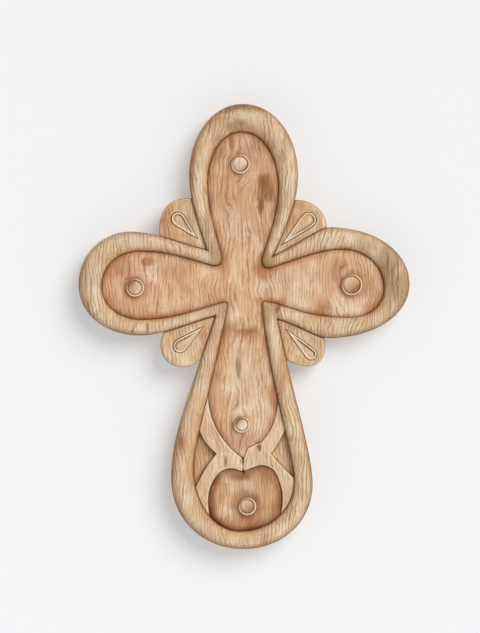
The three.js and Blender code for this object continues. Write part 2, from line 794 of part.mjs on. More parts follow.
// The hanger
add('hanger_plate', hangerPlate(pivotDepth), brass);
add('hanger_ring', hangerRing(pivotDepth), brass);
screwPlaces().forEach((place, index) => {
  const screw = turnedPiece(screwProfile(), place, recessDeep - plateThick, -1);
  add(index === 0 ? 'hanger_screw_left' : 'hanger_screw_right', screw, brass);
});

export default cross;
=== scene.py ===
"""The looks of a wooden wall cross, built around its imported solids.

Lengths inside this script are millimetres, and meshes are written in metres. Outlines are drawn in (x, z) as
seen from the front, and depths are measured forwards from the flat back.
"""

import math
from collections import namedtuple

import bmesh
import bpy
import numpy as np
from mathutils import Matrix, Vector, noise
from mathutils.geometry import delaunay_2d_cdt


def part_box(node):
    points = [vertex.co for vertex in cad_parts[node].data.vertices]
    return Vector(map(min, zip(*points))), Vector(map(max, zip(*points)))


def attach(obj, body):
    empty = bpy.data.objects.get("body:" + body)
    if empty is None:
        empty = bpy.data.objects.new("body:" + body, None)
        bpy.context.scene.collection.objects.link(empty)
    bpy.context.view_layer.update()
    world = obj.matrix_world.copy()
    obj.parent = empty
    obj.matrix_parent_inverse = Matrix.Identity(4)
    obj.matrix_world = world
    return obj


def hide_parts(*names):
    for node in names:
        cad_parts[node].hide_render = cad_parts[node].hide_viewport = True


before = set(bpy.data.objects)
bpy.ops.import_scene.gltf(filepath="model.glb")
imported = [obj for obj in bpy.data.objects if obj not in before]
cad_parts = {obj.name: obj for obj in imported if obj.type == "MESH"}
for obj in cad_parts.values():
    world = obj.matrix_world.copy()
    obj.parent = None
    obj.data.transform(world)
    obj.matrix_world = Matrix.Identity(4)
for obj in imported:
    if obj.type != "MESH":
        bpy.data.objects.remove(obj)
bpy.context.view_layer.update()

MM = 0.001
# The quarters around the middle, counterclockwise
QUARTERS = [(1, 1), (-1, 1), (-1, -1), (1, -1)]

# ---- Sizes ----

# The gap between the solids, which the dressed pieces close at the crossing and at the rims' mitres
GAP = 0.3
# How far outlines are moved out, so that only a hairline is left between the pieces
GROWTH = 0.14

# Depths of the boards' front, of the joint between them and of the recess, and half the recess's size
BOARD_FRONT = 9.0
BOARD_LAP = 4.5
RECESS_FLOOR = 6.0
RECESS_HALF = np.array([17.5, 15.0])
# How far the boards stay behind the pieces on them
BOARD_SUNK = 0.02

# Faces: the depths of the cut that gives the outline, of the wall and of the crown, how far in the edge
# between these is rounded, how far in the grid of points begins, its step, and how near points may lie
Face = namedtuple("Face", "cut wall crown round grid step closest")
PANEL = Face(13.1, 14.9, 16.0, 4.2, 2.52, 2.4, 0.42)
PETAL = Face(14.5, 15.6, 16.5, 2.2, 1.0, 1.7, 0.35)
DROP = Face(13.5, 16.0, 17.2, 0.6, 1.9, 1.1, 0.18)
SCROLL = Face(12.0, 14.5, 15.5, 1.2, 0.72, 1.9, 0.42)
FIELD = Face(10.0, 11.1, 11.5, 1.0, 0.6, 1.9, 0.42)
FOOT = Face(12.0, 12.9, 16.5, 6.5, 3.9, 2.4, 0.42)

# The depth of the cut that gives the rims' outlines, and the rims' heights above the boards
RIM_CUT = 9.4
RIM_CREST = 10.5
RIM_OUTER_WALL = 3.5
RIM_PETAL_WALL = 7.6
RIM_INNER_WALL = 6.8
# How far from a petal the outer wall comes down again, and how square the bead is
PETAL_REACH = 5.0
RIM_SQUARENESS = 2.3
# The share to which distances from a rim's free edge shrink, which widens its dark outline and the painted
# shade along it
OUTLINE_WIDENED = 0.55

# A petal sinks a little towards the pocket of its drop
POCKET_FLOOR = 12.5
PETAL_DIP = 0.25
PETAL_DIP_REACH = 1.5
# The dish of a drop and the rise of its middle: where they begin, over how far they go, and how much
DISH = (0.8, 0.9, 1.3)
DISH_RISE = (1.7, 2.5, 0.5)

# A stud's shank, ring, groove and dome, with heights above its seat
STUD_SHANK = 3.2
STUD_DEEP = 5
RING_HALF = 0.6
RING_HIGH = 0.9
RING_MIDDLE = 1.3
GROOVE_IN = 1.45
GROOVE_HIGH = 0.8
DOME_HIGH = 1.6
DOME_ROUNDNESS = 2.2
DOME_SHARES = (0.97, 0.92, 0.84, 0.72, 0.56, 0.38, 0.2, 0.00002)

RIM_NODES = ["rim_top", "rim_right", "rim_bottom", "rim_left"]
BRASS_NODES = ["hanger_plate", "hanger_ring", "hanger_screw_left", "hanger_screw_right"]

# How far from each inner corner of the cross its rounding begins, by the quarter that it lies in
CORNER_REACHES = [(1, 1, 7.0), (-1, 1, 6.0), (-1, -1, 2.2), (1, -1, 2.2)]
# Where the head of the right scroll bulges over the tip of the upright: the middle, its reach and its shift
CURLS = [
    ((4.6, -112.2), 3.4, (-1.7, 3.0)),
    ((8.6, -108.4), 3.2, (-0.8, 1.7)),
]
# How wide and how high the waves are in faces shaped by hand
UNEVEN_WIDE = 14.0
UNEVEN_HIGH = 0.16

# ---- Steps and limits of the meshes ----

# Sharper turns are corners, and points that turn less than the second lie on a straight line
CORNER_TURN = math.radians(40)
STRAIGHT_TURN = math.radians(0.05)
# Points nearer than these are one: in metres in solids, in millimetres in outlines and in triangles
WELD = 1e-6
DOUBLED = 0.01
MERGED = 1e-5
# Keeps divisors from being nothing
TINY = 1e-9
# Longer straight stretches are joints where they lie along another piece
SHORTEST_JOINT = 5.0
CORNER_STEPS = 5
OUTLINE_STEP = 1.3
TURNED_SIDES = 40
# The distance between the rows of a triangular grid, as a share of its step
ROW_SHARE = 0.866
# How many points are measured against a line at a time
BLOCK = 4000
# The share of its distance from one point of an outline that a point must keep from all others
RING_KEPT = 0.9
# How far in the grid in the boards begins, and its step
BOARD_GRID = (2.0, 5.0)
# How near to each other points in a rim may lie, and how near to the lines of a piece
RIM_CLOSEST = 0.45
EDGE_CLEAR = 0.1
PETAL_CLEAR = 0.12
BOARD_CLEAR = 0.8
# The angles at which a rounded edge is stepped, and the shares of its width at which a rim is
ROUND_ANGLES = [14, 28, 42, 58, 74, 90]
RIM_SHARES = (0.012, 0.04, 0.09, 0.16, 0.25, 0.36, 0.5)
# Where points follow the edge of a drop inside it and outside it, and the rim of a stud
DROP_RINGS = (0.1, 0.3, 0.5, 0.75, 1.0, 1.3, 1.6, 2.1, 2.8)
DROP_COLLAR = (0.4, 0.9, 1.6)
STUD_RINGS = (-0.4, 0.0, 0.35, 0.75, 1.2, 1.9, 2.8)
STUD_RING_POINTS = 48
# Narrower stains get points of their own in the mesh: how far these reach, and how far apart they lie
NARROW_STAIN = 2.5
MARK_REACH = (1.6, 1.4)
MARK_STEP = 0.7
MARK_STRETCH = 1.5
# The two sides of a slab
FRONT, BACK = 0, 1

# ---- Grain and stains ----

# Places that the grain runs around, as (x, z, half width, stretch along the grain)
EDDIES = [
    (-2.1, 80.9, 8.5, 1.5),
    (72.5, 0.1, 4, 1.5),
    (-72.7, -1.8, 3.5, 1.5),
    (-1.2, -93.5, 5, 1.5),
    (2.5, -148.2, 5, 1.5),
    (-2.6, -56, 3.4, 3.6),
    (-64, 15, 3, 1.3),
    (-8, 96, 3, 2.6),
    (102, 8, 3, 3),
    (-104, -2, 3, 2),
]
# What keeps the grain from curling up in them
EDDY_CALM = 1.3
# The two waves of the grain, as (width, height, strength)
WANDER = (34, 52, 8)
RIPPLE = (11, 13, 2.2)
# How far the grain of one piece lies from that of another whose shift is one more
GRAIN_APART = 31

# How stains drift out of shape: the waves, the most that they move, and that as shares of a stain's size
DRIFT_WAVES = (8, 11)
DRIFT_MOST = (5.0, 6.0)
DRIFT_SHARES = (0.7, 0.5)
# Narrower stains have a crisp edge
CRISP_STAIN = 7.0
CRISPNESS = 2.6
SOFTNESS = 1.5
# Stains: (x, z, half width, half height, strength)
RED_STAINS = [
    (-64, 15.5, 4, 4, 1), (-62, -24.5, 28, 5, 0.9), (-86, 14, 14, 12, 0.6),
    (-88, -12, 10, 14, 0.45), (51.5, -17, 7, 6.5, 1), (79, 0, 9, 11, 0.6),
    (66, 14, 3, 4, 0.5), (92, -16, 10, 8, 0.35), (20, -12, 8, 3, 0.8),
    (14, 9, 6, 6, 0.6), (10.5, -10.5, 3, 3, 0.8), (-13, 9, 4, 6, 0.4),
    (-10, -30, 9, 5.5, 0.75), (3, -32.5, 9, 5, 0.75), (15, -36, 7, 6, 0.5),
    (23, -70, 5, 20, 0.7), (-19, -72, 4, 18, 0.5), (26, 45, 5, 20, 0.6),
    (-25, 44, 3.5, 24, 0.6), (-22, 66, 4, 20, 0.4), (2, -159, 20, 6, 0.7),
    (3, -148, 9, 9, 0.5), (-20, -132, 9, 7, 0.75), (20, -130, 9, 8, 0.8),
    (24, -150, 7, 12, 0.7), (-23, -146, 4, 14, 0.85), (0, -104, 14, 6, 0.5),
    (-52, 45, 7, 10, 0.6), (-20, -113, 5, 3.5, 0.6), (0, 68, 28, 38, 0.36),
]
RIM_RED_STAINS = [
    (-34.5, 88, 4, 22, 0.75), (-24, 112, 14, 5, 0.4), (-41, -107, 4, 7, 0.6),
    (26, -60, 2.5, 18, 0.35), (-104, -6, 2.5, 16, 0.35),
]
# Chips cut out of the heads of the scrolls, which are darkened too as painted shade in their hollows, and
# their depth
CHIPS = [
    (10.6, -107.8, 1.3, 3.7, 0.9), (-12.2, -118.2, 1.3, 3.9, 0.7), (-0.5, -117.4, 1.5, 2.9, 0.95),
    (0.2, -124.8, 1.1, 1.8, 0.9),
]
CHIP_DEPTH = 1.5
DARK_STAINS_AND_SHADE = CHIPS + [
    (17, 64, 6.5, 9, 0.9), (11.5, 57, 2.4, 13, 0.85), (22, 48, 4, 12, 0.4),
    (-7.6, 97, 2.2, 8, 0.8), (-16, 92, 5, 8, 0.35), (12, 94, 10, 5, 0.35),
    (-2.5, 106.5, 10, 3.2, 0.6), (0, 119.5, 26, 3.6, 0.75), (27, 86, 3, 5, 0.5),
    (-64, -28.5, 1.2, 4.5, 0.7), (22.5, -15.5, 1.8, 4, 0.8), (61, 12, 3, 9, 0.4),
    (-2.6, -56, 2, 7.5, 0.65), (2, -31, 4.5, 2.2, 0.6), (-41.5, -106.5, 2, 4, 0.5),
    (-1, -128, 8, 2.6, 0.8), (15, -171, 2, 4, 0.4), (96.5, 15, 0.9, 8, 0.6),
    (100, 2, 0.9, 10, 0.55), (103.5, 10, 0.8, 9, 0.5), (98, -13, 0.9, 8, 0.5),
    (-106, 5, 0.8, 9, 0.45), (-101.5, -4, 0.8, 10, 0.45), (-104, -16, 0.8, 7, 0.4),
]
# Olive stains; those on the right tip of the rim are painted shade that darkens that side
OLIVE_STAINS_AND_SHADE = [
    (99, 12, 8, 20, 1), (105, -4, 6, 15, 0.85), (84, 27, 8, 5, 0.6),
    (15, 16, 6, 8, 0.9), (-18, 20, 7, 9, 0.7), (-23, 40, 3, 16, 0.6),
    (19, -17, 7, 8, 0.6), (15.5, -5.5, 2.4, 3.5, 0.6), (-15, -17, 4, 8, 0.7),
    (-30, -115, 4, 8, 0.3), (30, 100, 5, 12, 0.4), (0, 113, 30, 10, 0.2),
]
# Pale stains; some are painted light: the pale left tip of the rim, the band along the top rim's crest, and
# spots on the right neck of the lower rim and on the right field that lighten where shade falls
PALE_STAINS_AND_LIGHT = [
    (-3, 111, 12, 3.6, 0.8), (-30, 68, 3, 12, 0.9), (-100, 2, 8, 18, 0.8),
    (-70, 30, 22, 4, 0.5), (58, 30, 22, 5, 0.4), (-47, -47, 9, 7, 0.75),
    (-42, 38, 3, 4, 0.4), (36, 48, 4, 4, 0.4), (12, 0, 10, 8, 0.3),
    (11.5, -3.5, 2.2, 4, 0.6), (20.5, -38, 3, 13, 0.4), (0, -66, 13, 20, 0.5),
    (2, -136, 12, 5, 0.3), (27, -121, 6, 9, 0.35), (-40, -100, 4, 26, 0.35),
    (-2, -171.5, 20, 3, 0.15),
]

# The distance from the edge that is painted on the sides of large, middling and small pieces
LARGE_SIDES = 6.0
MIDDLE_SIDES = 5.0
SMALL_SIDES = 3.0
# The petals, and the side on which the drop of each gets painted shade: how far inside its edge, how wide and
# how dark
PETALS = {
    "upper_right": (0.7, -0.7),
    "lower_right": (0.7, 0.7),
    "lower_left": (-0.7, 0.7),
    "upper_left": (0.7, 0.7),
}
DROP_SHADE_IN = 1.6
DROP_SHADE_WIDE = 0.7
DROP_SHADE = 0.85
# What the dark line round a drop keeps from its edge on its shaded side, where it is strengthened as painted
# shade, and on the other, where it is fainter
DROP_LINES = (0.2, 1.3)
# The studs: the depth of the seat, how pale the middle is, and how much paler it grows to the upper left, a
# painted highlight that leaves painted shade on the other side of the dome
STUDS = {
    "stud_top": (16.0, 0.6, 0.6),
    "stud_right": (16.0, 0.0, 1.0),
    "stud_lower": (16.0, 0.6, -0.7),
    "stud_left": (16.0, 0.2, -0.6),
    "stud_foot": (16.5, 0.05, 1.0),
}
# The side towards which the studs' painted highlight grows
UPPER_LEFT = (-0.7, 0.7)

# The tints of stains, which also carry painted highlight and shade, and their strength; the colours of the
# dark joint line along an edge and of the painted highlight line inside it
TINTS = {
    "pale": ("f2dfc6", 0.7),
    "olive": ("9c7c4c", 0.75),
    "red": ("ae632e", 0.8),
    "dark": ("80501f", 0.92),
}
HIGHLIGHT_LINE = "f8e6cd"
DARK_LINE = "7f4b20"
# Woods: pale, middle, warm, line and edge colours, the edge colour being painted shade; spacing and strength
# of the grain lines; strength of warm patches; width and strength of the painted shade along the edge;
# strength of its thin dark line and of the painted highlight line inside that
WOODS = {
    "rim_wood": ("f4e0c4 dcb78a c78f5c 875628 8a6238", 2.5, 0.74, 0.7, 1.6, 0.3, 0.7, 0),
    "left_arm_wood": ("f0cfac e0b48c cc9062 945826 a2592b", 2.4, 0.7, 0.6, 5.0, 0.6, 0.7, 0),
    "right_arm_wood": ("f3d8b4 e3c097 d29d6f 925a2a a65e2e", 2.5, 0.7, 0.5, 5.0, 0.5, 0.7, 0),
    "upright_wood": ("f2d5b2 e2ba8e cd9866 8f5a2a 9a5c30", 2.7, 0.68, 0.6, 5.0, 0.5, 0.7, 0),
    "foot_wood": ("ecd0aa d8ae80 bf8350 8a5a34 7c431a", 2.6, 0.45, 0.5, 7.5, 0.8, 1.0, 0),
    "petal_wood": ("edd2ac deb88c ca925e 875628 8a5c30", 2.4, 0.68, 0.6, 1.8, 0.5, 0.5, 0.4),
    "drop_wood": ("eecfa8 dab186 ca9866 8c5c30 8a5a30", 2.0, 0.55, 0.5, 0.6, 0.2, 0.15, 0.9),
    "scroll_wood": ("f2d7b4 e2c098 d4a87c 8c6238 a0744a", 2.8, 0.5, 0.5, 1.6, 0.3, 0.6, 0.55),
    "stud_wood": ("f0d6b6 e4c09a d4a67a a07448 8f6036", 2.0, 0.3, 0.5, 0.5, 0.4, 0.4, 0),
    "ground_wood": ("f4d2a6 e6c092 d0a272 845a2e 96683a", 2.6, 0.5, 0.6, 2.4, 0.4, 0.6, 0),
    "board_wood": ("d8b78c c8a274 b88c5c 7c5029 8a6238", 3.2, 0.6, 0.4, 1.0, 0.3, 0.3, 0),
}
# The colours across a moulding, from its outer to its inner edge, with painted shade at both edges and a
# painted highlight along the crest; and across a stud's ring, from inside, with painted shade in the groove
# and at its foot and a painted highlight on the ring
BANDS = {
    "rim_wood": {
        0: "6f4723", 0.06: "9f7344", 0.14: "cda374", 0.32: "ecd0aa",
        0.66: "e4c59e", 0.88: "c9a475", 1: "ab8250",
    },
    "stud_wood": {0: "a87a4c", 0.12: "b98d60", 0.3: "dcb88e", 0.6: "f4dfc0", 0.85: "e8cca6", 1: "a87a4c"},
}
# The colours between which a stud's tone chooses: its own paleness, with a painted highlight towards one side
TONED = {"stud_wood": ("cf9f6e", "fff0da")}

# ---- Stage, light and camera ----

# The picture's frame, 480 by 633 pixels, at 0.671 mm a pixel, and where its middle lies
FRAME_HIGH = 633 * 0.671 * MM
FRAME_MIDDLE = Vector((-2.35, -12.0, -21.1)) * MM
CAMERA_AWAY = 2.2
SENSOR = 36.0
# The suns, as (direction towards them, strength, spread in degrees)
SUNS = {
    "key": ((0.5, -0.72, 0.5), 2.04, 40),
    "back": ((-0.4, 0.8, 0.45), 1.7, 30),
}
SUN_COLOUR = (1.0, 0.985, 0.955)
WORLD_COLOUR = (0.91, 0.98, 1.09, 1)
WORLD_LIGHT = 0.4
# What the wall glows by itself, which keeps the shadow on it soft
WALL_GLOW = 0.24
# Mirrors show the wall only where it is farther from them than this, in metres
NEAR_WALL = 0.02
# In metres: half the width of the wall and of the floor, the wall's place and top, and the floor's level
WALL_HALF = 0.7
WALL_BEHIND = 0.0005
WALL_TOP = 0.7
FLOOR_HALF = 3
FLOOR_LEVEL = -0.42


# ---- Outlines ----


def section(node, depth):
    """The closed outlines in which a CAD node is cut at a depth, the largest first."""
    cut = bmesh.new()
    cut.from_mesh(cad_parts[node].data)
    bmesh.ops.remove_doubles(cut, verts=cut.verts, dist=WELD)
    plane = Vector((0, -depth * MM, 0))
    parts = cut.verts[:] + cut.edges[:] + cut.faces[:]
    made = bmesh.ops.bisect_plane(cut, geom=parts, plane_co=plane, plane_no=(0, 1, 0))["geom_cut"]
    edges = dict.fromkeys(item for item in made if isinstance(item, bmesh.types.BMEdge))
    loops = []
    while edges:
        edge, _ = edges.popitem()
        start, here = edge.verts
        points = [start, here]
        while here is not start:
            edge = next(item for item in here.link_edges if item in edges)
            del edges[edge]
            here = edge.other_vert(here)
            points.append(here)
        loops.append(cleaned(np.array([(v.co.x, v.co.z) for v in points[:-1]]) / MM))
    cut.free()
    return sorted(loops, key=lambda loop: -area(loop))


def area(loop):
    x, z = loop.T
    return 0.5 * np.sum(x * np.roll(z, -1) - np.roll(x, -1) * z)


def turns(loop):
    """The turn at each point of a closed outline, positive to the left."""
    coming = loop - np.roll(loop, 1, axis=0)
    going = np.roll(loop, -1, axis=0) - loop
    cross = coming[:, 0] * going[:, 1] - coming[:, 1] * going[:, 0]
    return np.arctan2(cross, np.sum(coming * going, axis=1))


def cleaned(loop):
    """An outline counterclockwise from its lowest point, without needless points."""
    loop = loop if area(loop) > 0 else loop[::-1]
    loop = np.roll(loop, -np.lexsort(loop.T)[0], axis=0)
    loop = loop[np.linalg.norm(loop - np.roll(loop, 1, axis=0), axis=1) > DOUBLED]
    return loop[np.abs(turns(loop)) > STRAIGHT_TURN]


def closed(loop):
    return np.vstack([loop, loop[:1]])


def steps_between(a, b):
    return max(1, round(np.linalg.norm(b - a) / OUTLINE_STEP))


def straight(a, b):
    return np.linspace(a, b, steps_between(a, b) + 1)


def blend(p, q, start, end, t):
    """The point that lies between two as t lies between start and end."""
    return (p * (end - t) + q * (t - start)) / (end - start)


def spline(a, b, c, d):
    """Points after the second and up to the third of four, on a smooth curve through all of them."""
    gaps = (max(np.linalg.norm(q - p), TINY) ** 0.5 for p, q in ((a, b), (b, c), (c, d)))
    k0, k1, k2, k3 = np.cumsum([0, *gaps])
    count = steps_between(b, c)
    found = []
    for share in np.arange(1, count + 1) / count:
        t = k1 + share * (k2 - k1)
        before = blend(a, b, k0, k1, t)
        between = blend(b, c, k1, k2, t)
        after = blend(c, d, k2, k3, t)
        found.append(blend(blend(before, between, k0, k2, t), blend(between, after, k1, k3, t), k1, k2, t))
    return found


def smooth(points):
    """A smooth line through points, with its two ends kept."""
    if len(points) < 3:
        return straight(points[0], points[1])
    padded = np.vstack([2 * points[0] - points[1], points, 2 * points[-1] - points[-2]])
    line = [points[0]]
    for four in zip(padded, padded[1:], padded[2:], padded[3:]):
        line += spline(*four)
    return np.array(line)


def drawn(points):
    """An open run of points as one smooth line that keeps its sharp corners."""
    going = np.diff(points, axis=0)
    angle = np.arctan2(going[:, 1], going[:, 0])
    turn = np.abs((np.diff(angle) + np.pi) % (2 * np.pi) - np.pi)
    ends = [0, *(np.flatnonzero(turn > CORNER_TURN) + 1), len(points) - 1]
    return np.vstack([smooth(points[a : b + 1])[:-1] for a, b in zip(ends, ends[1:])] + [points[-1:]])


def curled(line):
    """An outline shifted softly where the scroll's head bulges, alike in the two pieces that meet there."""
    moved = line.copy()
    for middle, reach, shift in CURLS:
        away = np.linalg.norm(line - middle, axis=1)[:, None] / reach
        moved += np.exp(-(away**2)) * shift
    return moved


def drawn_loop(loop):
    """A closed outline, smoothed between its sharp corners."""
    corners = np.flatnonzero(np.abs(turns(loop)) > CORNER_TURN)
    start = corners[0] if len(corners) else 0
    line = curled(drawn(closed(np.roll(loop, -start, axis=0)))[:-1])
    return line - inwards(line) * GROWTH


def rightwards(line):
    """The direction to the right of an open line at each of its points."""
    along = np.gradient(line, axis=0)
    return np.column_stack([along[:, 1], -along[:, 0]]) / np.linalg.norm(along, axis=1, keepdims=True)


def inwards(loop):
    """The direction into a closed outline at each of its points."""
    along = np.roll(loop, -1, axis=0) - np.roll(loop, 1, axis=0)
    along /= np.maximum(np.linalg.norm(along, axis=1, keepdims=True), TINY)
    return np.column_stack([-along[:, 1], along[:, 0]])


def parted(loop, others):
    """The smooth lines of an outline between its straight joints with others, moved out to meet there."""
    after = np.roll(loop, -1, axis=0)
    near = distance((loop + after) / 2, [closed(other) for other in others]) < 2 * GAP
    joints = np.flatnonzero(near & (np.linalg.norm(after - loop, axis=1) > SHORTEST_JOINT))
    moved = loop.copy()
    for i in joints:
        along = after[i] - loop[i]
        out = np.array([along[1], -along[0]]) / np.linalg.norm(along) * GAP / 2
        moved[i] += out
        moved[(i + 1) % len(loop)] += out
    lines = []
    for first, last in zip(joints, [*joints[1:], joints[0] + len(loop)]):
        line = drawn(moved[np.arange(first + 1, last + 1) % len(loop)])
        lines.append(line + rightwards(line) * GROWTH)
    return lines


def eased(lines):
    """Rounds the corners in which lines of different pieces meet, and ends the lines half way round."""
    lines = list(lines)
    for i, before in enumerate(lines):
        j = int(np.argmin([np.linalg.norm(line[0] - before[-1]) for line in lines]))
        after = lines[j]
        corner = (before[-1] + after[0]) / 2
        reach = next(value for x, z, value in CORNER_REACHES if corner[0] * x > 0 and corner[1] * z > 0)
        kept = before[np.linalg.norm(before - corner, axis=1) > reach]
        rest = after[np.linalg.norm(after - corner, axis=1) > reach]
        share = np.linspace(0, 1, 2 * CORNER_STEPS + 1)[:, None]
        curve = kept[-1] * (1 - share) ** 2 + 2 * corner * share * (1 - share) + rest[0] * share**2
        lines[i] = np.vstack([kept, curve[1 : CORNER_STEPS + 1]])
        lines[j] = np.vstack([curve[CORNER_STEPS:-1], rest])
    return lines


def bridged(lines):
    """A closed outline of lines with straight stretches from each to the next."""
    loop = []
    for line, after in zip(lines, [*lines[1:], lines[0]]):
        loop += [line[:-1], straight(line[-1], after[0])[:-1]]
    return np.vstack(loop)


def length(line):
    return np.sum(np.linalg.norm(np.diff(line, axis=0), axis=1))


# ---- Points ----


def distance(points, lines):
    """How far each point lies from the nearest of several lines."""
    best = np.full(len(points), np.inf)
    for line in lines:
        a, b = line[None, :-1], line[None, 1:]
        along = b - a
        for start in range(0, len(points), BLOCK):
            block = points[start : start + BLOCK, None]
            share = np.sum((block - a) * along, axis=2) / np.maximum(np.sum(along * along, axis=2), TINY)
            gap = block - a - np.clip(share, 0, 1)[..., None] * along
            near = np.sqrt(np.min(np.sum(gap * gap, axis=2), axis=1))
            best[start : start + BLOCK] = np.minimum(best[start : start + BLOCK], near)
    return best


def inside(points, loop):
    """Whether each point lies inside a closed outline."""
    x, z = points[:, :1], points[:, 1:]
    x0, z0 = loop[:, 0], loop[:, 1]
    x1, z1 = np.roll(x0, -1), np.roll(z0, -1)
    crosses = (z0 > z) != (z1 > z)
    with np.errstate(divide="ignore", invalid="ignore"):
        at = x0 + (z - z0) * (x1 - x0) / (z1 - z0)
    return np.sum(crosses & (x < at), axis=1) % 2 == 1


def rings(loop, distances):
    """Points that follow an outline at several distances inside it."""
    found = []
    for value in distances:
        moved = loop + inwards(loop) * value
        moved = moved[inside(moved, loop)]
        found.append(moved[distance(moved, [closed(loop)]) > RING_KEPT * value])
    return np.vstack(found)


def ring_distances(radius):
    return [radius * (1 - math.cos(math.radians(angle))) for angle in ROUND_ANGLES]


def lattice(loop, clear, step):
    """A triangular grid of points inside an outline, clear of its edge."""
    (x0, z0), (x1, z1) = loop.min(axis=0), loop.max(axis=0)
    rows = []
    for row, z in enumerate(np.arange(z0, z1, step * ROW_SHARE)):
        xs = np.arange(x0 + (row % 2) * step / 2, x1, step)
        rows.append(np.column_stack([xs, np.full(len(xs), z)]))
    points = np.vstack(rows)
    points = points[inside(points, loop)]
    return points[distance(points, [closed(loop)]) > clear]


def place_of(node):
    """The middle of a CAD node as seen from the front, and half its width."""
    low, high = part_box(node)
    return np.array([low.x + high.x, low.z + high.z]) / 2 / MM, (high.x - low.x) / 2 / MM


def stud_places():
    return {node: place_of(node) for node in STUDS}


def stud_gap(points):
    """How far each point lies outside the nearest stud."""
    gaps = [np.linalg.norm(points - middle, axis=1) - radius for middle, radius in stud_places().values()]
    return np.maximum(np.min(gaps, axis=0), 0)


def around_studs(loop):
    """Points close around the studs that stand inside an outline."""
    angles = np.linspace(0, 2 * math.pi, STUD_RING_POINTS + 1)[:-1]
    circle = np.column_stack([np.cos(angles), np.sin(angles)])
    heads = stud_places().values()
    points = np.vstack([middle + circle * (radius + gap) for middle, radius in heads for gap in STUD_RINGS])
    return points[inside(points, loop)]


def around_marks(loop):
    """Points close together where narrow stains lie inside an outline."""
    found = []
    for x, z, wide, high, _ in RED_STAINS + DARK_STAINS_AND_SHADE + OLIVE_STAINS_AND_SHADE + PALE_STAINS_AND_LIGHT:
        if wide < NARROW_STAIN:
            across, along = MARK_REACH[0] * wide, MARK_REACH[1] * high
            xs = np.arange(x - across, x + across, MARK_STEP)
            zs = np.arange(z - along, z + along, MARK_STRETCH * MARK_STEP)
            found.append(np.stack(np.meshgrid(xs, zs), axis=-1).reshape(-1, 2))
    points = np.vstack(found)
    return points[inside(points, loop)]


def sparse(points, gap):
    """Points without those that lie too near an earlier one."""
    cells = {}
    kept = []
    for point in points:
        key = tuple(np.floor(point / gap).astype(int))
        near = (cells.get((key[0] + i, key[1] + j)) for i in (-1, 0, 1) for j in (-1, 0, 1))
        if all(other is None or np.linalg.norm(point - other) >= gap for other in near):
            cells[key] = point
            kept.append(point)
    return np.array(kept)


def filled(loop, face):
    """The points inside an outline that shape its face: denser by the edge, the studs and narrow stains."""
    edge_rings = rings(loop, ring_distances(face.round))
    grid = lattice(loop, face.grid, face.step)
    points = np.vstack([around_studs(loop), edge_rings, around_marks(loop), grid])
    return sparse(points[distance(points, [closed(loop)]) > EDGE_CLEAR], face.closest)


# ---- Meshes ----


def solid(name, places, faces, weld=False):
    """A new object with a closed mesh, whose normals point outwards."""
    mesh = bpy.data.meshes.new(name)
    mesh.from_pydata(places, [], faces)
    tidy = bmesh.new()
    tidy.from_mesh(mesh)
    if weld:
        bmesh.ops.remove_doubles(tidy, verts=tidy.verts, dist=WELD)
    bmesh.ops.recalc_face_normals(tidy, faces=tidy.faces)
    tidy.to_mesh(mesh)
    tidy.free()
    return linked(name, mesh)


def linked(name, data):
    """A new object in the scene."""
    made = bpy.data.objects.new(name, data)
    bpy.context.scene.collection.objects.link(made)
    return made


def triangulated(loop, extra, lines):
    """Points and triangles that fill an outline, with extra points, and lines that the triangles keep to."""
    points = [Vector(p) for p in loop]
    edges = []
    for line in lines:
        first = len(points)
        points += [Vector(p) for p in line]
        edges += [(first + i, first + i + 1) for i in range(len(line) - 1)]
    points += [Vector(p) for p in extra]
    verts, _, faces, *_ = delaunay_2d_cdt(points, edges, [list(range(len(loop)))], 1, MERGED)
    return np.array([tuple(v) for v in verts]), np.array([face for face in faces if len(face) == 3])


def walls(a, b, zones):
    """The corners of the walls at the edge between two points, by the zones of the triangles beside it."""
    first, last = zones[0], zones[-1]
    if len(zones) == 1:
        return [[(a, first, FRONT), (b, first, FRONT), (b, first, BACK), (a, first, BACK)]]
    if first != last:
        around = ((a, first), (b, first), (b, last), (a, last))
        return [[(*corner, side) for corner in around] for side in (FRONT, BACK)]
    return []


def slab(name, loop, front, back, extra, lines=(), zones=None):
    """A closed mesh between two depths, each a function of points and of the zone that they are in.

    Returns the object and, for each vertex, its point and whether it is in the front.
    """
    points, triangles = triangulated(loop, extra, lines)
    zone_of = zones(points[triangles].mean(axis=1)) if zones else np.zeros(len(triangles), int)
    depths = {zone: (front(points, zone), back(points, zone)) for zone in np.unique(zone_of)}
    index = {}
    records = []

    def vertex(point, zone, side):
        depth = depths[zone][side][point]
        key = (int(point), round(float(depth), 4))
        if key not in index:
            index[key] = len(records)
            records.append((point, depth, side))
        return index[key]

    faces = []
    beside = {}
    for triangle, zone in zip(triangles, zone_of):
        faces.append([vertex(p, zone, FRONT) for p in triangle])
        faces.append([vertex(p, zone, BACK) for p in triangle[::-1]])
        for a, b in zip(triangle, np.roll(triangle, -1)):
            beside.setdefault((min(a, b), max(a, b)), []).append(zone)
    for (a, b), found in beside.items():
        for wall in walls(a, b, found):
            ids = list(dict.fromkeys(vertex(*corner) for corner in wall))
            if len(ids) > 2:
                faces.append(ids)
    places = np.array([(points[p][0], -depth, points[p][1]) for p, depth, _ in records]) * MM
    at = points[[p for p, _, _ in records]]
    in_front = np.array([side for _, _, side in records]) == FRONT
    return solid(name, places.tolist(), faces), at, in_front


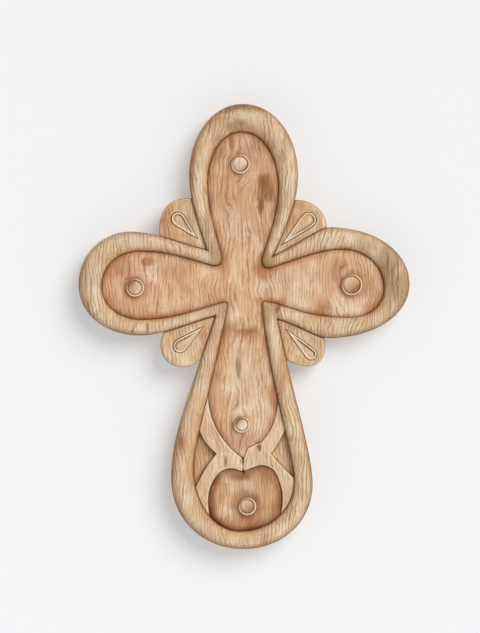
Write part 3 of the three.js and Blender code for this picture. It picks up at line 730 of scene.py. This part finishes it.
def lathe(name, middle, profile):
    """A turned piece about an axis along the depth; its profile lists radius and depth."""
    points = []
    faces = []
    for radius, depth in profile:
        for side in range(TURNED_SIDES):
            angle = 2 * math.pi * side / TURNED_SIDES
            x, z = middle[0] + radius * math.cos(angle), middle[1] + radius * math.sin(angle)
            points.append((x * MM, -depth * MM, z * MM))
    for ring in range(len(profile) - 1):
        for side in range(TURNED_SIDES):
            after = (side + 1) % TURNED_SIDES
            low, high = ring * TURNED_SIDES, (ring + 1) * TURNED_SIDES
            faces.append([low + side, low + after, high + after, high + side])
    return solid(name, points, faces, weld=True)


def flat(depth):
    """The side of a slab that lies at one depth."""
    return lambda points, zone: np.full(len(points), depth)


def rounded(gap, face):
    """The depth of a face that rises from its wall to its crown over a quarter of an ellipse."""
    share = np.clip(1 - gap / face.round, 0, 1)
    return face.wall + (face.crown - face.wall) * np.sqrt(1 - share**2)


def waves(points, wide, high, layer):
    """A smooth noise between -1 and 1, whose waves are about so wide and high."""
    return np.array([noise.noise(Vector((x / wide, z / high, layer))) for x, z in points])


def uneven(points):
    """The slight unevenness of a face shaped by hand."""
    return UNEVEN_HIGH * waves(points, UNEVEN_WIDE, UNEVEN_WIDE, 0.5)


def set_attribute(piece, name, values):
    made = piece.data.attributes.get(name) or piece.data.attributes.new(name, "FLOAT", "POINT")
    made.data.foreach_set("value", np.asarray(values, np.float32))


# ---- What the materials read ----


def grain(points, shift):
    """Across the grain, in millimetres: the lines of the wood run where this is the same."""
    flow = points[:, 0].copy()
    for x, z, radius, stretch in EDDIES:
        dx, dz = points[:, 0] - x, points[:, 1] - z
        flow -= dx * radius**2 / (dx**2 + (dz / stretch) ** 2 + EDDY_CALM * radius**2)
    wander = WANDER[2] * waves(points, *WANDER[:2], shift)
    ripple = RIPPLE[2] * waves(points, *RIPPLE[:2], shift + 7)
    return flow + wander + ripple + GRAIN_APART * shift


def stain(points, spots):
    """How strongly each point is stained by soft-edged spots."""
    total = np.zeros(len(points))
    drift = np.column_stack([waves(points, *DRIFT_WAVES, layer) for layer in (3.5, 9.5)])
    for x, z, wide, high, strength in spots:
        at = points + drift * np.minimum(DRIFT_MOST, np.multiply(DRIFT_SHARES, (wide, high)))
        spread = ((at[:, 0] - x) / wide) ** 2 + ((at[:, 1] - z) / high) ** 2
        crispness = CRISPNESS if wide < CRISP_STAIN else SOFTNESS
        total = np.maximum(total, strength * np.exp(-(spread**crispness)))
    return total


def paint(piece, points, edge, shift, reds=RED_STAINS):
    """Gives a piece its distances to the edge, its grain and, unless reds is None, its stains with painted
    light and shade among them.
    """
    set_attribute(piece, "edge", edge)
    set_attribute(piece, "grain", grain(points, shift))
    if reds is not None:
        stains = {"red": reds, "dark": DARK_STAINS_AND_SHADE, "olive": OLIVE_STAINS_AND_SHADE, "pale": PALE_STAINS_AND_LIGHT}
        for name, spots in stains.items():
            set_attribute(piece, name, stain(points, spots))


# ---- Materials ----


def linear(code):
    """A colour written as six hexadecimal digits, as the renderer takes it."""
    parts = [int(code[i : i + 2], 16) / 255 for i in (0, 2, 4)]
    return [c / 12.92 if c <= 0.04045 else ((c + 0.055) / 1.055) ** 2.4 for c in parts] + [1]


class Tree:
    """A tree of nodes, made one after another."""

    def __init__(self, tree):
        self.nodes = tree.nodes
        self.links = tree.links

    def put(self, socket, value):
        if isinstance(value, bpy.types.NodeSocket):
            self.links.new(value, socket)
        elif value is not None:
            socket.default_value = value

    def node(self, kind, inputs, **options):
        made = self.nodes.new(kind)
        for key, value in options.items():
            setattr(made, key, value)
        for key, value in inputs.items():
            self.put(made.inputs[key], value)
        return made

    def math(self, operation, a, b=None, c=None, clamp=False):
        made = self.node("ShaderNodeMath", {0: a, 1: b, 2: c}, operation=operation, use_clamp=clamp)
        return made.outputs[0]

    def times(self, a, b, clamp=False):
        return self.math("MULTIPLY", a, b, clamp=clamp)

    def seen(self, beyond=None):
        """Whether a ray comes from the camera, or is mirrored and, if a distance is given, longer than it."""
        rays = self.node("ShaderNodeLightPath", {}).outputs
        mirrored = self.math("MAXIMUM", rays["Is Glossy Ray"], rays["Is Transmission Ray"])
        if beyond:
            mirrored = self.times(mirrored, self.math("GREATER_THAN", rays["Ray Length"], beyond))
        return self.math("MAXIMUM", rays["Is Camera Ray"], mirrored)

    def show(self, output, share, a, b):
        """Shows a mixture of two surfaces."""
        mixed = self.node("ShaderNodeMixShader", {0: share, 1: a.outputs[0], 2: b.outputs[0]})
        self.put(self.nodes[output].inputs["Surface"], mixed.outputs[0])


class Shader(Tree):
    """A material's nodes."""

    def __init__(self, name):
        self.material = bpy.data.materials.new(name)
        self.material.use_nodes = True
        super().__init__(self.material.node_tree)
        self.surface = self.nodes["Principled BSDF"]

    def give(self, name, value):
        self.put(self.surface.inputs[name], value)

    def attribute(self, name):
        return self.node("ShaderNodeAttribute", {}, attribute_name=name).outputs["Fac"]

    def noise(self, waves, detail=2.0, rough=0.5, warp=0.0):
        """Noise over the object, with waves of these lengths in millimetres."""
        place = self.node("ShaderNodeTexCoord", {}).outputs["Object"]
        scale = tuple(1 / wave / MM for wave in waves)
        place = self.node("ShaderNodeVectorMath", {0: place, 1: scale}, operation="MULTIPLY").outputs[0]
        inputs = {"Vector": place, "Scale": 1.0, "Detail": detail, "Roughness": rough, "Distortion": warp}
        return self.node("ShaderNodeTexNoise", inputs).outputs[0]

    def between(self, value, low, high, out_low=0.0, out_high=1.0):
        """Maps a range softly to another."""
        inputs = {"Value": value, "From Min": low, "From Max": high, "To Min": out_low, "To Max": out_high}
        return self.node("ShaderNodeMapRange", inputs, interpolation_type="SMOOTHSTEP").outputs[0]

    def mix(self, share, a, b):
        return self.node("ShaderNodeMix", {"Factor": share, 6: a, 7: b}, data_type="RGBA").outputs[2]

    def tinted(self, colour, tint, share, strength):
        """A colour mixed with a tint by a share that a strength scales."""
        return self.mix(self.times(share, strength), colour, tint)

    def ramp(self, value, stops):
        made = self.node("ShaderNodeValToRGB", {"Fac": value})
        band = made.color_ramp
        while len(band.elements) < len(stops):
            band.elements.new(0.5)
        for element, (position, code) in zip(band.elements, stops.items()):
            element.position = position
            element.color = linear(code)
        return made.outputs[0]


def grain_lines(s, fine, broad, spacing):
    """Lines where the wandering distance across the grain passes a whole number of spacings."""
    kink = s.noise((2.4, 2.4, 4.5))
    wobble = s.math("MULTIPLY_ADD", fine, 2.9, s.attribute("grain"))
    wobble = s.math("MULTIPLY_ADD", broad, 6.5, wobble)
    wobble = s.math("MULTIPLY_ADD", kink, 1.5, wobble)
    strand = s.between(s.math("PINGPONG", s.math("DIVIDE", wobble, spacing), 0.5), 0.2, 0.03)
    second = s.between(s.math("PINGPONG", s.math("DIVIDE", wobble, spacing * 0.57), 0.5), 0.16, 0.0)
    fade = s.between(s.noise((8, 8, 22)), 0.34, 0.62, 0.15, 1.0)
    return s.times(s.math("MAXIMUM", strand, s.times(second, 0.5)), fade)


def stained(s, colour, wash, fibre):
    """A colour with its stains and painted light and shade, the red and dark ones broken up by wash and
    fibres.
    """
    broken = s.math("MULTIPLY_ADD", fibre, 0.5, s.between(wash, 0.34, 0.6, 0.55, 1.0))
    for name, (code, strength) in TINTS.items():
        share = s.attribute(name)
        if name in ("red", "dark"):
            share = s.times(share, broken, clamp=True)
        colour = s.tinted(colour, linear(code), share, strength)
    return colour


def edged(s, colour, shaded, fine, broad, width, strength, joint, gleam):
    """A colour with its edges: a soft darkening of painted shade, and a dark line along the joint with a
    painted highlight line inside.
    """
    edge = s.attribute("edge")
    patchy = s.times(s.between(broad, 0.34, 0.62, 0.45, 1.15), strength)
    soft = s.times(s.between(edge, width, 0.0), patchy, clamp=True)
    colour = s.mix(soft, colour, shaded)
    if gleam:
        light = s.times(s.between(edge, 0.35, 0.6), s.between(edge, 1.35, 0.95))
        light = s.times(light, s.between(fine, 0.32, 0.55, 0.35 * gleam, gleam))
        colour = s.mix(light, colour, linear(HIGHLIGHT_LINE))
    thin = s.times(s.between(edge, 0.5, 0.15), s.between(fine, 0.35, 0.6, 0.5 * joint, joint))
    return s.mix(thin, colour, linear(DARK_LINE))


def wood(name, tones, spacing, line, blotch, width, strength, joint, gleam):
    """Wood with wavy grain lines, blotches, stains, painted shade along its edges and painted highlight
    lines, all from nodes.
    """
    pale, middle, warm, dark, shaded = (linear(code) for code in tones.split())
    s = Shader(name)
    fine = s.noise((7, 7, 10), detail=3.0, rough=0.55)
    broad = s.noise((22, 22, 30))
    fibre = s.noise((0.8, 0.8, 14), rough=0.6)
    wash = s.noise((15, 15, 22), detail=5.0, rough=0.62, warp=0.7)
    mottle = s.noise((5, 5, 9), detail=3.0, rough=0.6)
    lines = grain_lines(s, fine, broad, spacing)
    colour = s.mix(s.between(wash, 0.4, 0.6), middle, pale)
    colour = s.tinted(colour, warm, s.between(broad, 0.42, 0.66), blotch)
    colour = s.mix(s.between(mottle, 0.45, 0.7, 0.0, 0.5), colour, warm)
    # Mouldings and stud rings take painted shade and painted highlight across their width
    if name in BANDS:
        colour = s.mix(0.5, colour, s.ramp(s.attribute("across"), BANDS[name]))
    # A stud's dome takes its tone, which holds a painted highlight towards one side
    if name in TONED:
        own = s.mix(s.attribute("tone"), *(linear(code) for code in TONED[name]))
        colour = s.mix(s.between(s.attribute("across"), 0.1, 0.0, 0.0, 0.8), colour, own)
    colour = stained(s, colour, wash, fibre)
    colour = s.mix(s.between(fibre, 0.42, 0.68, 0.0, 0.3), colour, dark)
    colour = s.mix(s.between(fibre, 0.48, 0.3, 0.0, 0.3), colour, pale)
    colour = s.tinted(colour, dark, lines, line)
    s.give("Base Color", edged(s, colour, shaded, fine, broad, width, strength, joint, gleam))
    s.give("Roughness", s.between(fibre, 0.2, 0.8, 0.56, 0.7))
    s.give("Specular IOR Level", 0.3)
    height = s.math("MULTIPLY_ADD", lines, -0.7, s.times(fibre, 0.35))
    bump = s.node("ShaderNodeBump", {"Strength": 0.4, "Distance": 0.25 * MM, "Height": height})
    s.give("Normal", bump.outputs[0])
    return s.material


def brass_material():
    s = Shader("brass")
    brushed = s.noise((8, 0.5, 0.5), detail=3.0)
    dulled = s.noise((4, 4, 4), detail=4.0)
    s.give("Base Color", s.mix(s.between(dulled, 0.35, 0.7), linear("c39a55"), linear("8d6a35")))
    s.give("Roughness", s.between(brushed, 0.3, 0.7, 0.26, 0.46))
    s.give("Metallic", 1.0)
    return s.material


WOOD = {name: wood(name, *values) for name, values in WOODS.items()}
BRASS = brass_material()


# ---- The pieces ----


def placed(piece, look, node, sharp=50):
    """Dresses a piece, sharp where it turns by more than some degrees, and puts it in its node's place."""
    piece.data.materials.append(WOOD[look])
    piece.data.shade_smooth()
    piece.data.set_sharp_from_angle(angle=math.radians(sharp))
    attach(piece, "cross")
    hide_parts(node)


def finish_face(piece, at, in_front, gap, shift, look, node, reds=RED_STAINS):
    """Paints a piece by the distance of its front to the edge and to the studs, and puts it in its place."""
    # Near the studs the edge brings a dark line and painted shade round their feet
    paint(piece, at, np.where(in_front, np.minimum(gap, stud_gap(at)), LARGE_SIDES), shift, reds)
    placed(piece, look, node)


def moulding_lines():
    """The outer lines of the four mouldings and their inner ones, without the mitres between them."""
    raw = [section(node, RIM_CUT)[0] for node in RIM_NODES]
    outer, inner = [], []
    for number, loop in enumerate(raw):
        longer, shorter = sorted(parted(loop, raw[:number] + raw[number + 1 :]), key=length, reverse=True)
        outer.append(longer)
        inner.append(shorter)
    return outer, eased(inner)


def moulding_points(loop, number, outer, inner):
    """The points inside one moulding, in rows along its lines."""
    rows = []
    for line, others, shares in ((outer[number], inner, RIM_SHARES), (inner[number], outer, RIM_SHARES[:-1])):
        width = distance(line, others)[:, None]
        rows += [line - rightwards(line) * width * share for share in shares]
    points = np.vstack([*rows, around_marks(loop)])
    points = points[inside(points, loop)]
    return sparse(points[distance(points, [closed(loop)]) > EDGE_CLEAR], RIM_CLOSEST)


def mouldings():
    """The four mouldings: one bead across their mitres, with a lower outer wall away from the petals."""
    outer, inner = moulding_lines()
    beside = [closed(section(f"petal_{place}", BOARD_FRONT)[0]) for place in PETALS]

    def measured(points):
        """The share of the way across, the distance to the edge, and how near a petal each point is."""
        out, into = distance(points, outer), distance(points, inner)
        propped = np.exp(-((distance(points, beside) / PETAL_REACH) ** 2))
        outlined = OUTLINE_WIDENED + (1 - OUTLINE_WIDENED) * propped
        return out / np.maximum(out + into, TINY), np.minimum(out * outlined, into), propped

    def front(points, zone):
        share, _, propped = measured(points)
        outer_wall = RIM_OUTER_WALL + (RIM_PETAL_WALL - RIM_OUTER_WALL) * propped
        wall = outer_wall + (RIM_INNER_WALL - outer_wall) * share
        bead = np.clip(1 - np.abs(1 - 2 * share) ** RIM_SQUARENESS, 0, 1) ** (1 / RIM_SQUARENESS)
        return BOARD_FRONT + wall + (RIM_CREST - wall) * bead + uneven(points)

    for number, node in enumerate(RIM_NODES):
        loop = bridged([outer[number], inner[number]])
        points = moulding_points(loop, number, outer, inner)
        piece, at, in_front = slab(node.replace("rim", "moulding"), loop, front, flat(BOARD_FRONT), points)
        share, edge, _ = measured(at)
        paint(piece, at, np.where(in_front, edge, MIDDLE_SIDES), 1.7, RIM_RED_STAINS)
        # The share across sets the painted shade at the rim's edges and the painted highlight on its crest
        set_attribute(piece, "across", share)
        placed(piece, "rim_wood", node)


def inner_cross():
    """The inner upright and the two arms, rounded as one."""
    upright = section("inner_upright", PANEL.cut)[0]
    arms = sorted(section("inner_crossbar", PANEL.cut)[:2], key=lambda loop: loop[:, 0].mean())
    lines = parted(upright, arms) + parted(arms[0], [upright]) + parted(arms[1], [upright])
    edges = [curled(line) for line in eased(lines)]

    def front(points, zone):
        return rounded(distance(points, edges), PANEL) + uneven(points)

    for name, node, own, look, shift in (
        ("inner_post", "inner_upright", edges[:2], "upright_wood", 0.9),
        ("inner_arm_left", "inner_crossbar", edges[2:3], "left_arm_wood", 5.2),
        ("inner_arm_right", "inner_crossbar", edges[3:], "right_arm_wood", 4.1),
    ):
        loop = bridged(own)
        piece, at, in_front = slab(name, loop, front, flat(BOARD_FRONT), filled(loop, PANEL))
        finish_face(piece, at, in_front, distance(at, edges), shift, look, node)


def petals():
    """The four petals, each with a pocket, and the drops let into them."""
    for number, (place, side) in enumerate(PETALS.items()):
        node = f"petal_{place}"
        outer, pocket = section(node, PETAL.cut)[:2]
        loop = drawn_loop(outer)
        hole = drawn_loop(pocket)
        border, brim = [closed(loop)], [closed(hole)]

        def front(points, zone):
            if zone:
                return np.full(len(points), POCKET_FLOOR)
            face = rounded(distance(points, border), PETAL)
            return face - PETAL_DIP * np.exp(-distance(points, brim) / PETAL_DIP_REACH) + uneven(points)

        collar = np.vstack([hole - inwards(hole) * away for away in DROP_COLLAR])
        edge_rings = rings(loop, ring_distances(PETAL.round))
        points = np.vstack([collar, edge_rings, lattice(loop, PETAL.grid, PETAL.step)])
        points = points[inside(points, loop) & (distance(points, border + brim) > PETAL_CLEAR)]
        zones = lambda centres: inside(centres, hole).astype(int)
        points = sparse(points, PETAL.closest)
        piece, at, in_front = slab(f"leaf_{place}", loop, front, flat(0.0), points, brim, zones)
        # The dark line round the pocket is strengthened on the drop's shaded side as painted shade
        shaded = (at - (hole.max(axis=0) + hole.min(axis=0)) / 2) @ side > 0
        gap = np.minimum(distance(at, border), distance(at, brim) + np.where(shaded, *DROP_LINES))
        paint(piece, at, np.where(in_front, gap, MIDDLE_SIDES), 2.3 + number)
        placed(piece, "petal_wood", node)
        teardrop(place, side, number)


def teardrop(place, side, number):
    """The paler inset of a petal: a thin raised lip round a gently dished middle."""
    node = f"drop_{place}"
    loop = drawn_loop(section(node, DROP.cut)[0])

    def front(points, zone):
        gap = distance(points, [closed(loop)])
        fall, rise = (np.clip((gap - start) / over, 0, 1) for start, over, _ in (DISH, DISH_RISE))
        return rounded(gap, DROP) - DISH[2] * fall**2 * (3 - 2 * fall) + DISH_RISE[2] * rise

    points = np.vstack([rings(loop, DROP_RINGS), lattice(loop, DROP.grid, DROP.step)])
    points = sparse(points, DROP.closest)
    piece, at, in_front = slab(f"inset_{place}", loop, front, flat(POCKET_FLOOR), points)
    edge = np.where(in_front, distance(at, [closed(loop)]), SMALL_SIDES)
    paint(piece, at, edge, 6.1 + number)
    reach = np.linalg.norm(at, axis=1)
    long = reach.max() - reach.min()
    leaning = (at - (at.max(axis=0) + at.min(axis=0)) / 2) @ side / long
    # Painted shade inside the lip on the drop's shaded side
    shaded = np.exp(-(((edge - DROP_SHADE_IN) / DROP_SHADE_WIDE) ** 2)) * (leaning > 0.02)
    # A painted highlight that makes the drop paler towards its end nearest the crossing
    set_attribute(piece, "pale", (1 - (reach - reach.min()) / long) ** 0.8)
    set_attribute(piece, "dark", DROP_SHADE * shaded)
    placed(piece, "drop_wood", node, 60)


def stud_profile(radius, seat):
    """The profile of a stud: its shank, its shoulder, the raised ring, the groove and the low dome."""
    groove = radius - GROOVE_IN
    profile = [(0.0001, seat - STUD_DEEP), (STUD_SHANK, seat - STUD_DEEP), (STUD_SHANK, seat)]
    profile += [(radius - 0.1, seat), (radius, seat + 0.3)]
    for angle in range(0, 181, 20):
        turn = math.radians(angle)
        out = radius - RING_HALF + RING_HALF * math.cos(turn)
        profile.append((out, seat + RING_MIDDLE + RING_HIGH * math.sin(turn)))
    profile.append((groove, seat + GROOVE_HIGH))
    for share in DOME_SHARES:
        height = DOME_HIGH * math.sqrt(1 - share**DOME_ROUNDNESS)
        profile.append((groove * share, seat + GROOVE_HIGH + height))
    return profile


def studs():
    """The turned studs, each with its own painted shade and highlight: dark in its groove and paler towards
    one side.
    """
    for number, (node, (middle, radius)) in enumerate(stud_places().items()):
        seat, tone, highlight_slope = STUDS[node]
        groove = radius - GROOVE_IN
        piece = lathe(f"turned_{node}", middle, stud_profile(radius, seat))
        at = np.array([(v.co.x, v.co.z) for v in piece.data.vertices]) / MM
        depth = -np.array([v.co.y for v in piece.data.vertices]) / MM
        out = np.linalg.norm(at - middle, axis=1)
        # How far a point lies towards the upper left, along which the stud's painted highlight and shade are
        # laid
        lean = (at - middle) @ UPPER_LEFT / radius
        # The edge follows the groove, which gets a dark line and painted shade, fainter on the upper left
        edge = np.abs(out - groove) + 0.5 * np.maximum(lean, 0)
        sunk = (depth - seat + STUD_DEEP) / 2
        edge = np.minimum(edge, np.where(depth > seat + 0.5, SMALL_SIDES, sunk))
        paint(piece, at, edge, 8.4 + number, reds=None)
        ring = out > groove
        set_attribute(piece, "across", np.clip((out - groove) / (radius - groove), 0, 1))
        # Tone: own paleness with a painted highlight; pale: painted highlight on the ring's lower right;
        # dark: painted shade on the ring's upper left and on the side of the dome away from its highlight
        set_attribute(piece, "tone", tone + highlight_slope * lean)
        set_attribute(piece, "pale", np.clip(np.where(ring, -1.3 * lean, 0), 0, 1))
        set_attribute(piece, "dark", np.clip(np.where(ring, lean - 0.2, -2.0 * highlight_slope * lean - 0.25), 0, 0.8))
        placed(piece, "stud_wood", node, 40)


def plain_piece(name, node, face, look, shift, reds=RED_STAINS):
    """A piece with one outline, whose front is rounded towards its edge and chipped where chips reach it."""
    loop = drawn_loop(section(node, face.cut)[0])

    def front(points, zone):
        chipped = uneven(points) - CHIP_DEPTH * stain(points, CHIPS)
        return rounded(distance(points, [closed(loop)]), face) + chipped

    piece, at, in_front = slab(name, loop, front, flat(BOARD_FRONT), filled(loop, face))
    finish_face(piece, at, in_front, distance(at, [closed(loop)]), shift, look, node, reds)


def lower_lobe():
    """The scrolls and the fields beside them, and the pillowed panel at the foot."""
    for side, shift in (("left", 3.1), ("right", 3.6)):
        plain_piece(f"scrollwork_{side}", f"scroll_{side}", SCROLL, "scroll_wood", shift, [])
        plain_piece(f"field_{side}", f"ground_{side}", FIELD, "ground_wood", shift + 6)
    plain_piece("foot_pillow", "foot_panel", FOOT, "foot_wood", 0.9)


def lap_of(loop):
    """The four corners of the crossing in a board's outline, counterclockwise."""
    quarters = []
    for x, z in QUARTERS:
        found = loop[(loop[:, 0] * x > 0) & (loop[:, 1] * z > 0)]
        quarters.append(found[np.argmin(np.linalg.norm(found, axis=1))])
    return np.array(quarters)


def board(name, node, level, shift, lap_front, lap_back, recess=None):
    """One of the two backing boards, halved where they cross, with a recess in the upright one."""
    raw = section(node, level)[0]
    loop = drawn_loop(raw)
    crossing = lap_of(raw)
    borders = [closed(crossing)] if recess is None else [closed(crossing), closed(recess)]

    def zones(points):
        found = inside(points, crossing).astype(int)
        if recess is not None:
            found[inside(points, recess)] = 2
        return found

    front = lambda points, zone: np.full(len(points), lap_front if zone == 1 else BOARD_FRONT - BOARD_SUNK)
    back = lambda points, zone: np.full(len(points), {0: 0.0, 1: lap_back, 2: RECESS_FLOOR}[zone])
    points = lattice(loop, *BOARD_GRID)
    points = points[distance(points, borders) > BOARD_CLEAR]
    piece, at, _ = slab(name, loop, front, back, points, borders, zones)
    paint(piece, at, np.full(len(at), SMALL_SIDES), shift, reds=None)
    placed(piece, "board_wood", node, 40)


def boards():
    middle, _ = place_of("hanger_plate")
    recess = np.array([middle + RECESS_HALF * corner for corner in QUARTERS])
    board("board_upright", "back_upright", 7.5, 11.2, BOARD_FRONT - BOARD_SUNK, BOARD_LAP + GAP / 2, recess)
    board("board_crossbar", "back_crossbar", 2.0, 12.9, BOARD_LAP - GAP / 2, 0.0)


def brass_pieces():
    """The hanger, whose solids are shown as they are."""
    for node in BRASS_NODES:
        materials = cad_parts[node].data.materials
        materials.clear()
        materials.append(BRASS)


# ---- The stage ----


def staged(name, corners, shader):
    """A flat sheet that isn't part of the object."""
    mesh = bpy.data.meshes.new(name)
    mesh.from_pydata(corners, [], [(0, 1, 2, 3)])
    mesh.materials.append(shader.material)
    linked(name, mesh)


def matt(name, code):
    """A dull surface of one colour."""
    s = Shader(name)
    s.give("Base Color", linear(code))
    s.give("Roughness", 1.0)
    s.give("Specular IOR Level", 0.0)
    return s


def wall():
    """A pale wall behind the cross, which is only there for the eye in front of it."""
    s = matt("wall", "d9d9d9")
    s.give("Emission Color", linear("f4f4f5"))
    s.give("Emission Strength", WALL_GLOW)
    front = s.math("SUBTRACT", 1.0, s.node("ShaderNodeNewGeometry", {}).outputs["Backfacing"])
    clear = s.node("ShaderNodeBsdfTransparent", {})
    s.show("Material Output", s.times(s.seen(NEAR_WALL), front), clear, s.surface)
    low = [(x, WALL_BEHIND, FLOOR_LEVEL) for x in (-WALL_HALF, WALL_HALF)]
    high = [(x, WALL_BEHIND, WALL_TOP) for x in (WALL_HALF, -WALL_HALF)]
    staged("wall", low + high, s)


def floor():
    corners = [(x * FLOOR_HALF, y * FLOOR_HALF, FLOOR_LEVEL) for x, y in QUARTERS]
    staged("floor", corners, matt("floor", "e6e6e6"))


def sun(name, towards, strength, spread):
    light = bpy.data.lights.new(name, "SUN")
    light.energy = strength
    light.color = SUN_COLOUR
    light.angle = math.radians(spread)
    linked(name, light).rotation_euler = Vector(towards).to_track_quat("Z", "Y").to_euler()


def lights():
    """Even light: a wide key from the upper right, a weaker one on the back, and a pale world."""
    world = bpy.data.worlds.new("studio")
    bpy.context.scene.world = world
    world.use_nodes = True
    s = Tree(world.node_tree)
    lit = s.nodes["Background"]
    s.put(lit.inputs["Color"], WORLD_COLOUR)
    s.put(lit.inputs["Strength"], WORLD_LIGHT)
    pale = s.node("ShaderNodeBackground", {"Color": linear("f0f0f0")})
    s.show("World Output", s.seen(), lit, pale)
    for name, (towards, strength, spread) in SUNS.items():
        sun(name, towards, strength, spread)


def camera():
    data = bpy.data.cameras.new("camera")
    data.sensor_width = SENSOR
    data.lens = SENSOR * CAMERA_AWAY / FRAME_HIGH
    made = linked("camera", data)
    made.location = FRAME_MIDDLE + Vector((0, -CAMERA_AWAY, 0))
    made.rotation_euler = (math.radians(90), 0, 0)
    bpy.context.scene.camera = made


mouldings()
inner_cross()
petals()
studs()
lower_lobe()
boards()
brass_pieces()
wall()
floor()
lights()
camera()
bpy.context.scene.view_settings.view_transform = "Standard"
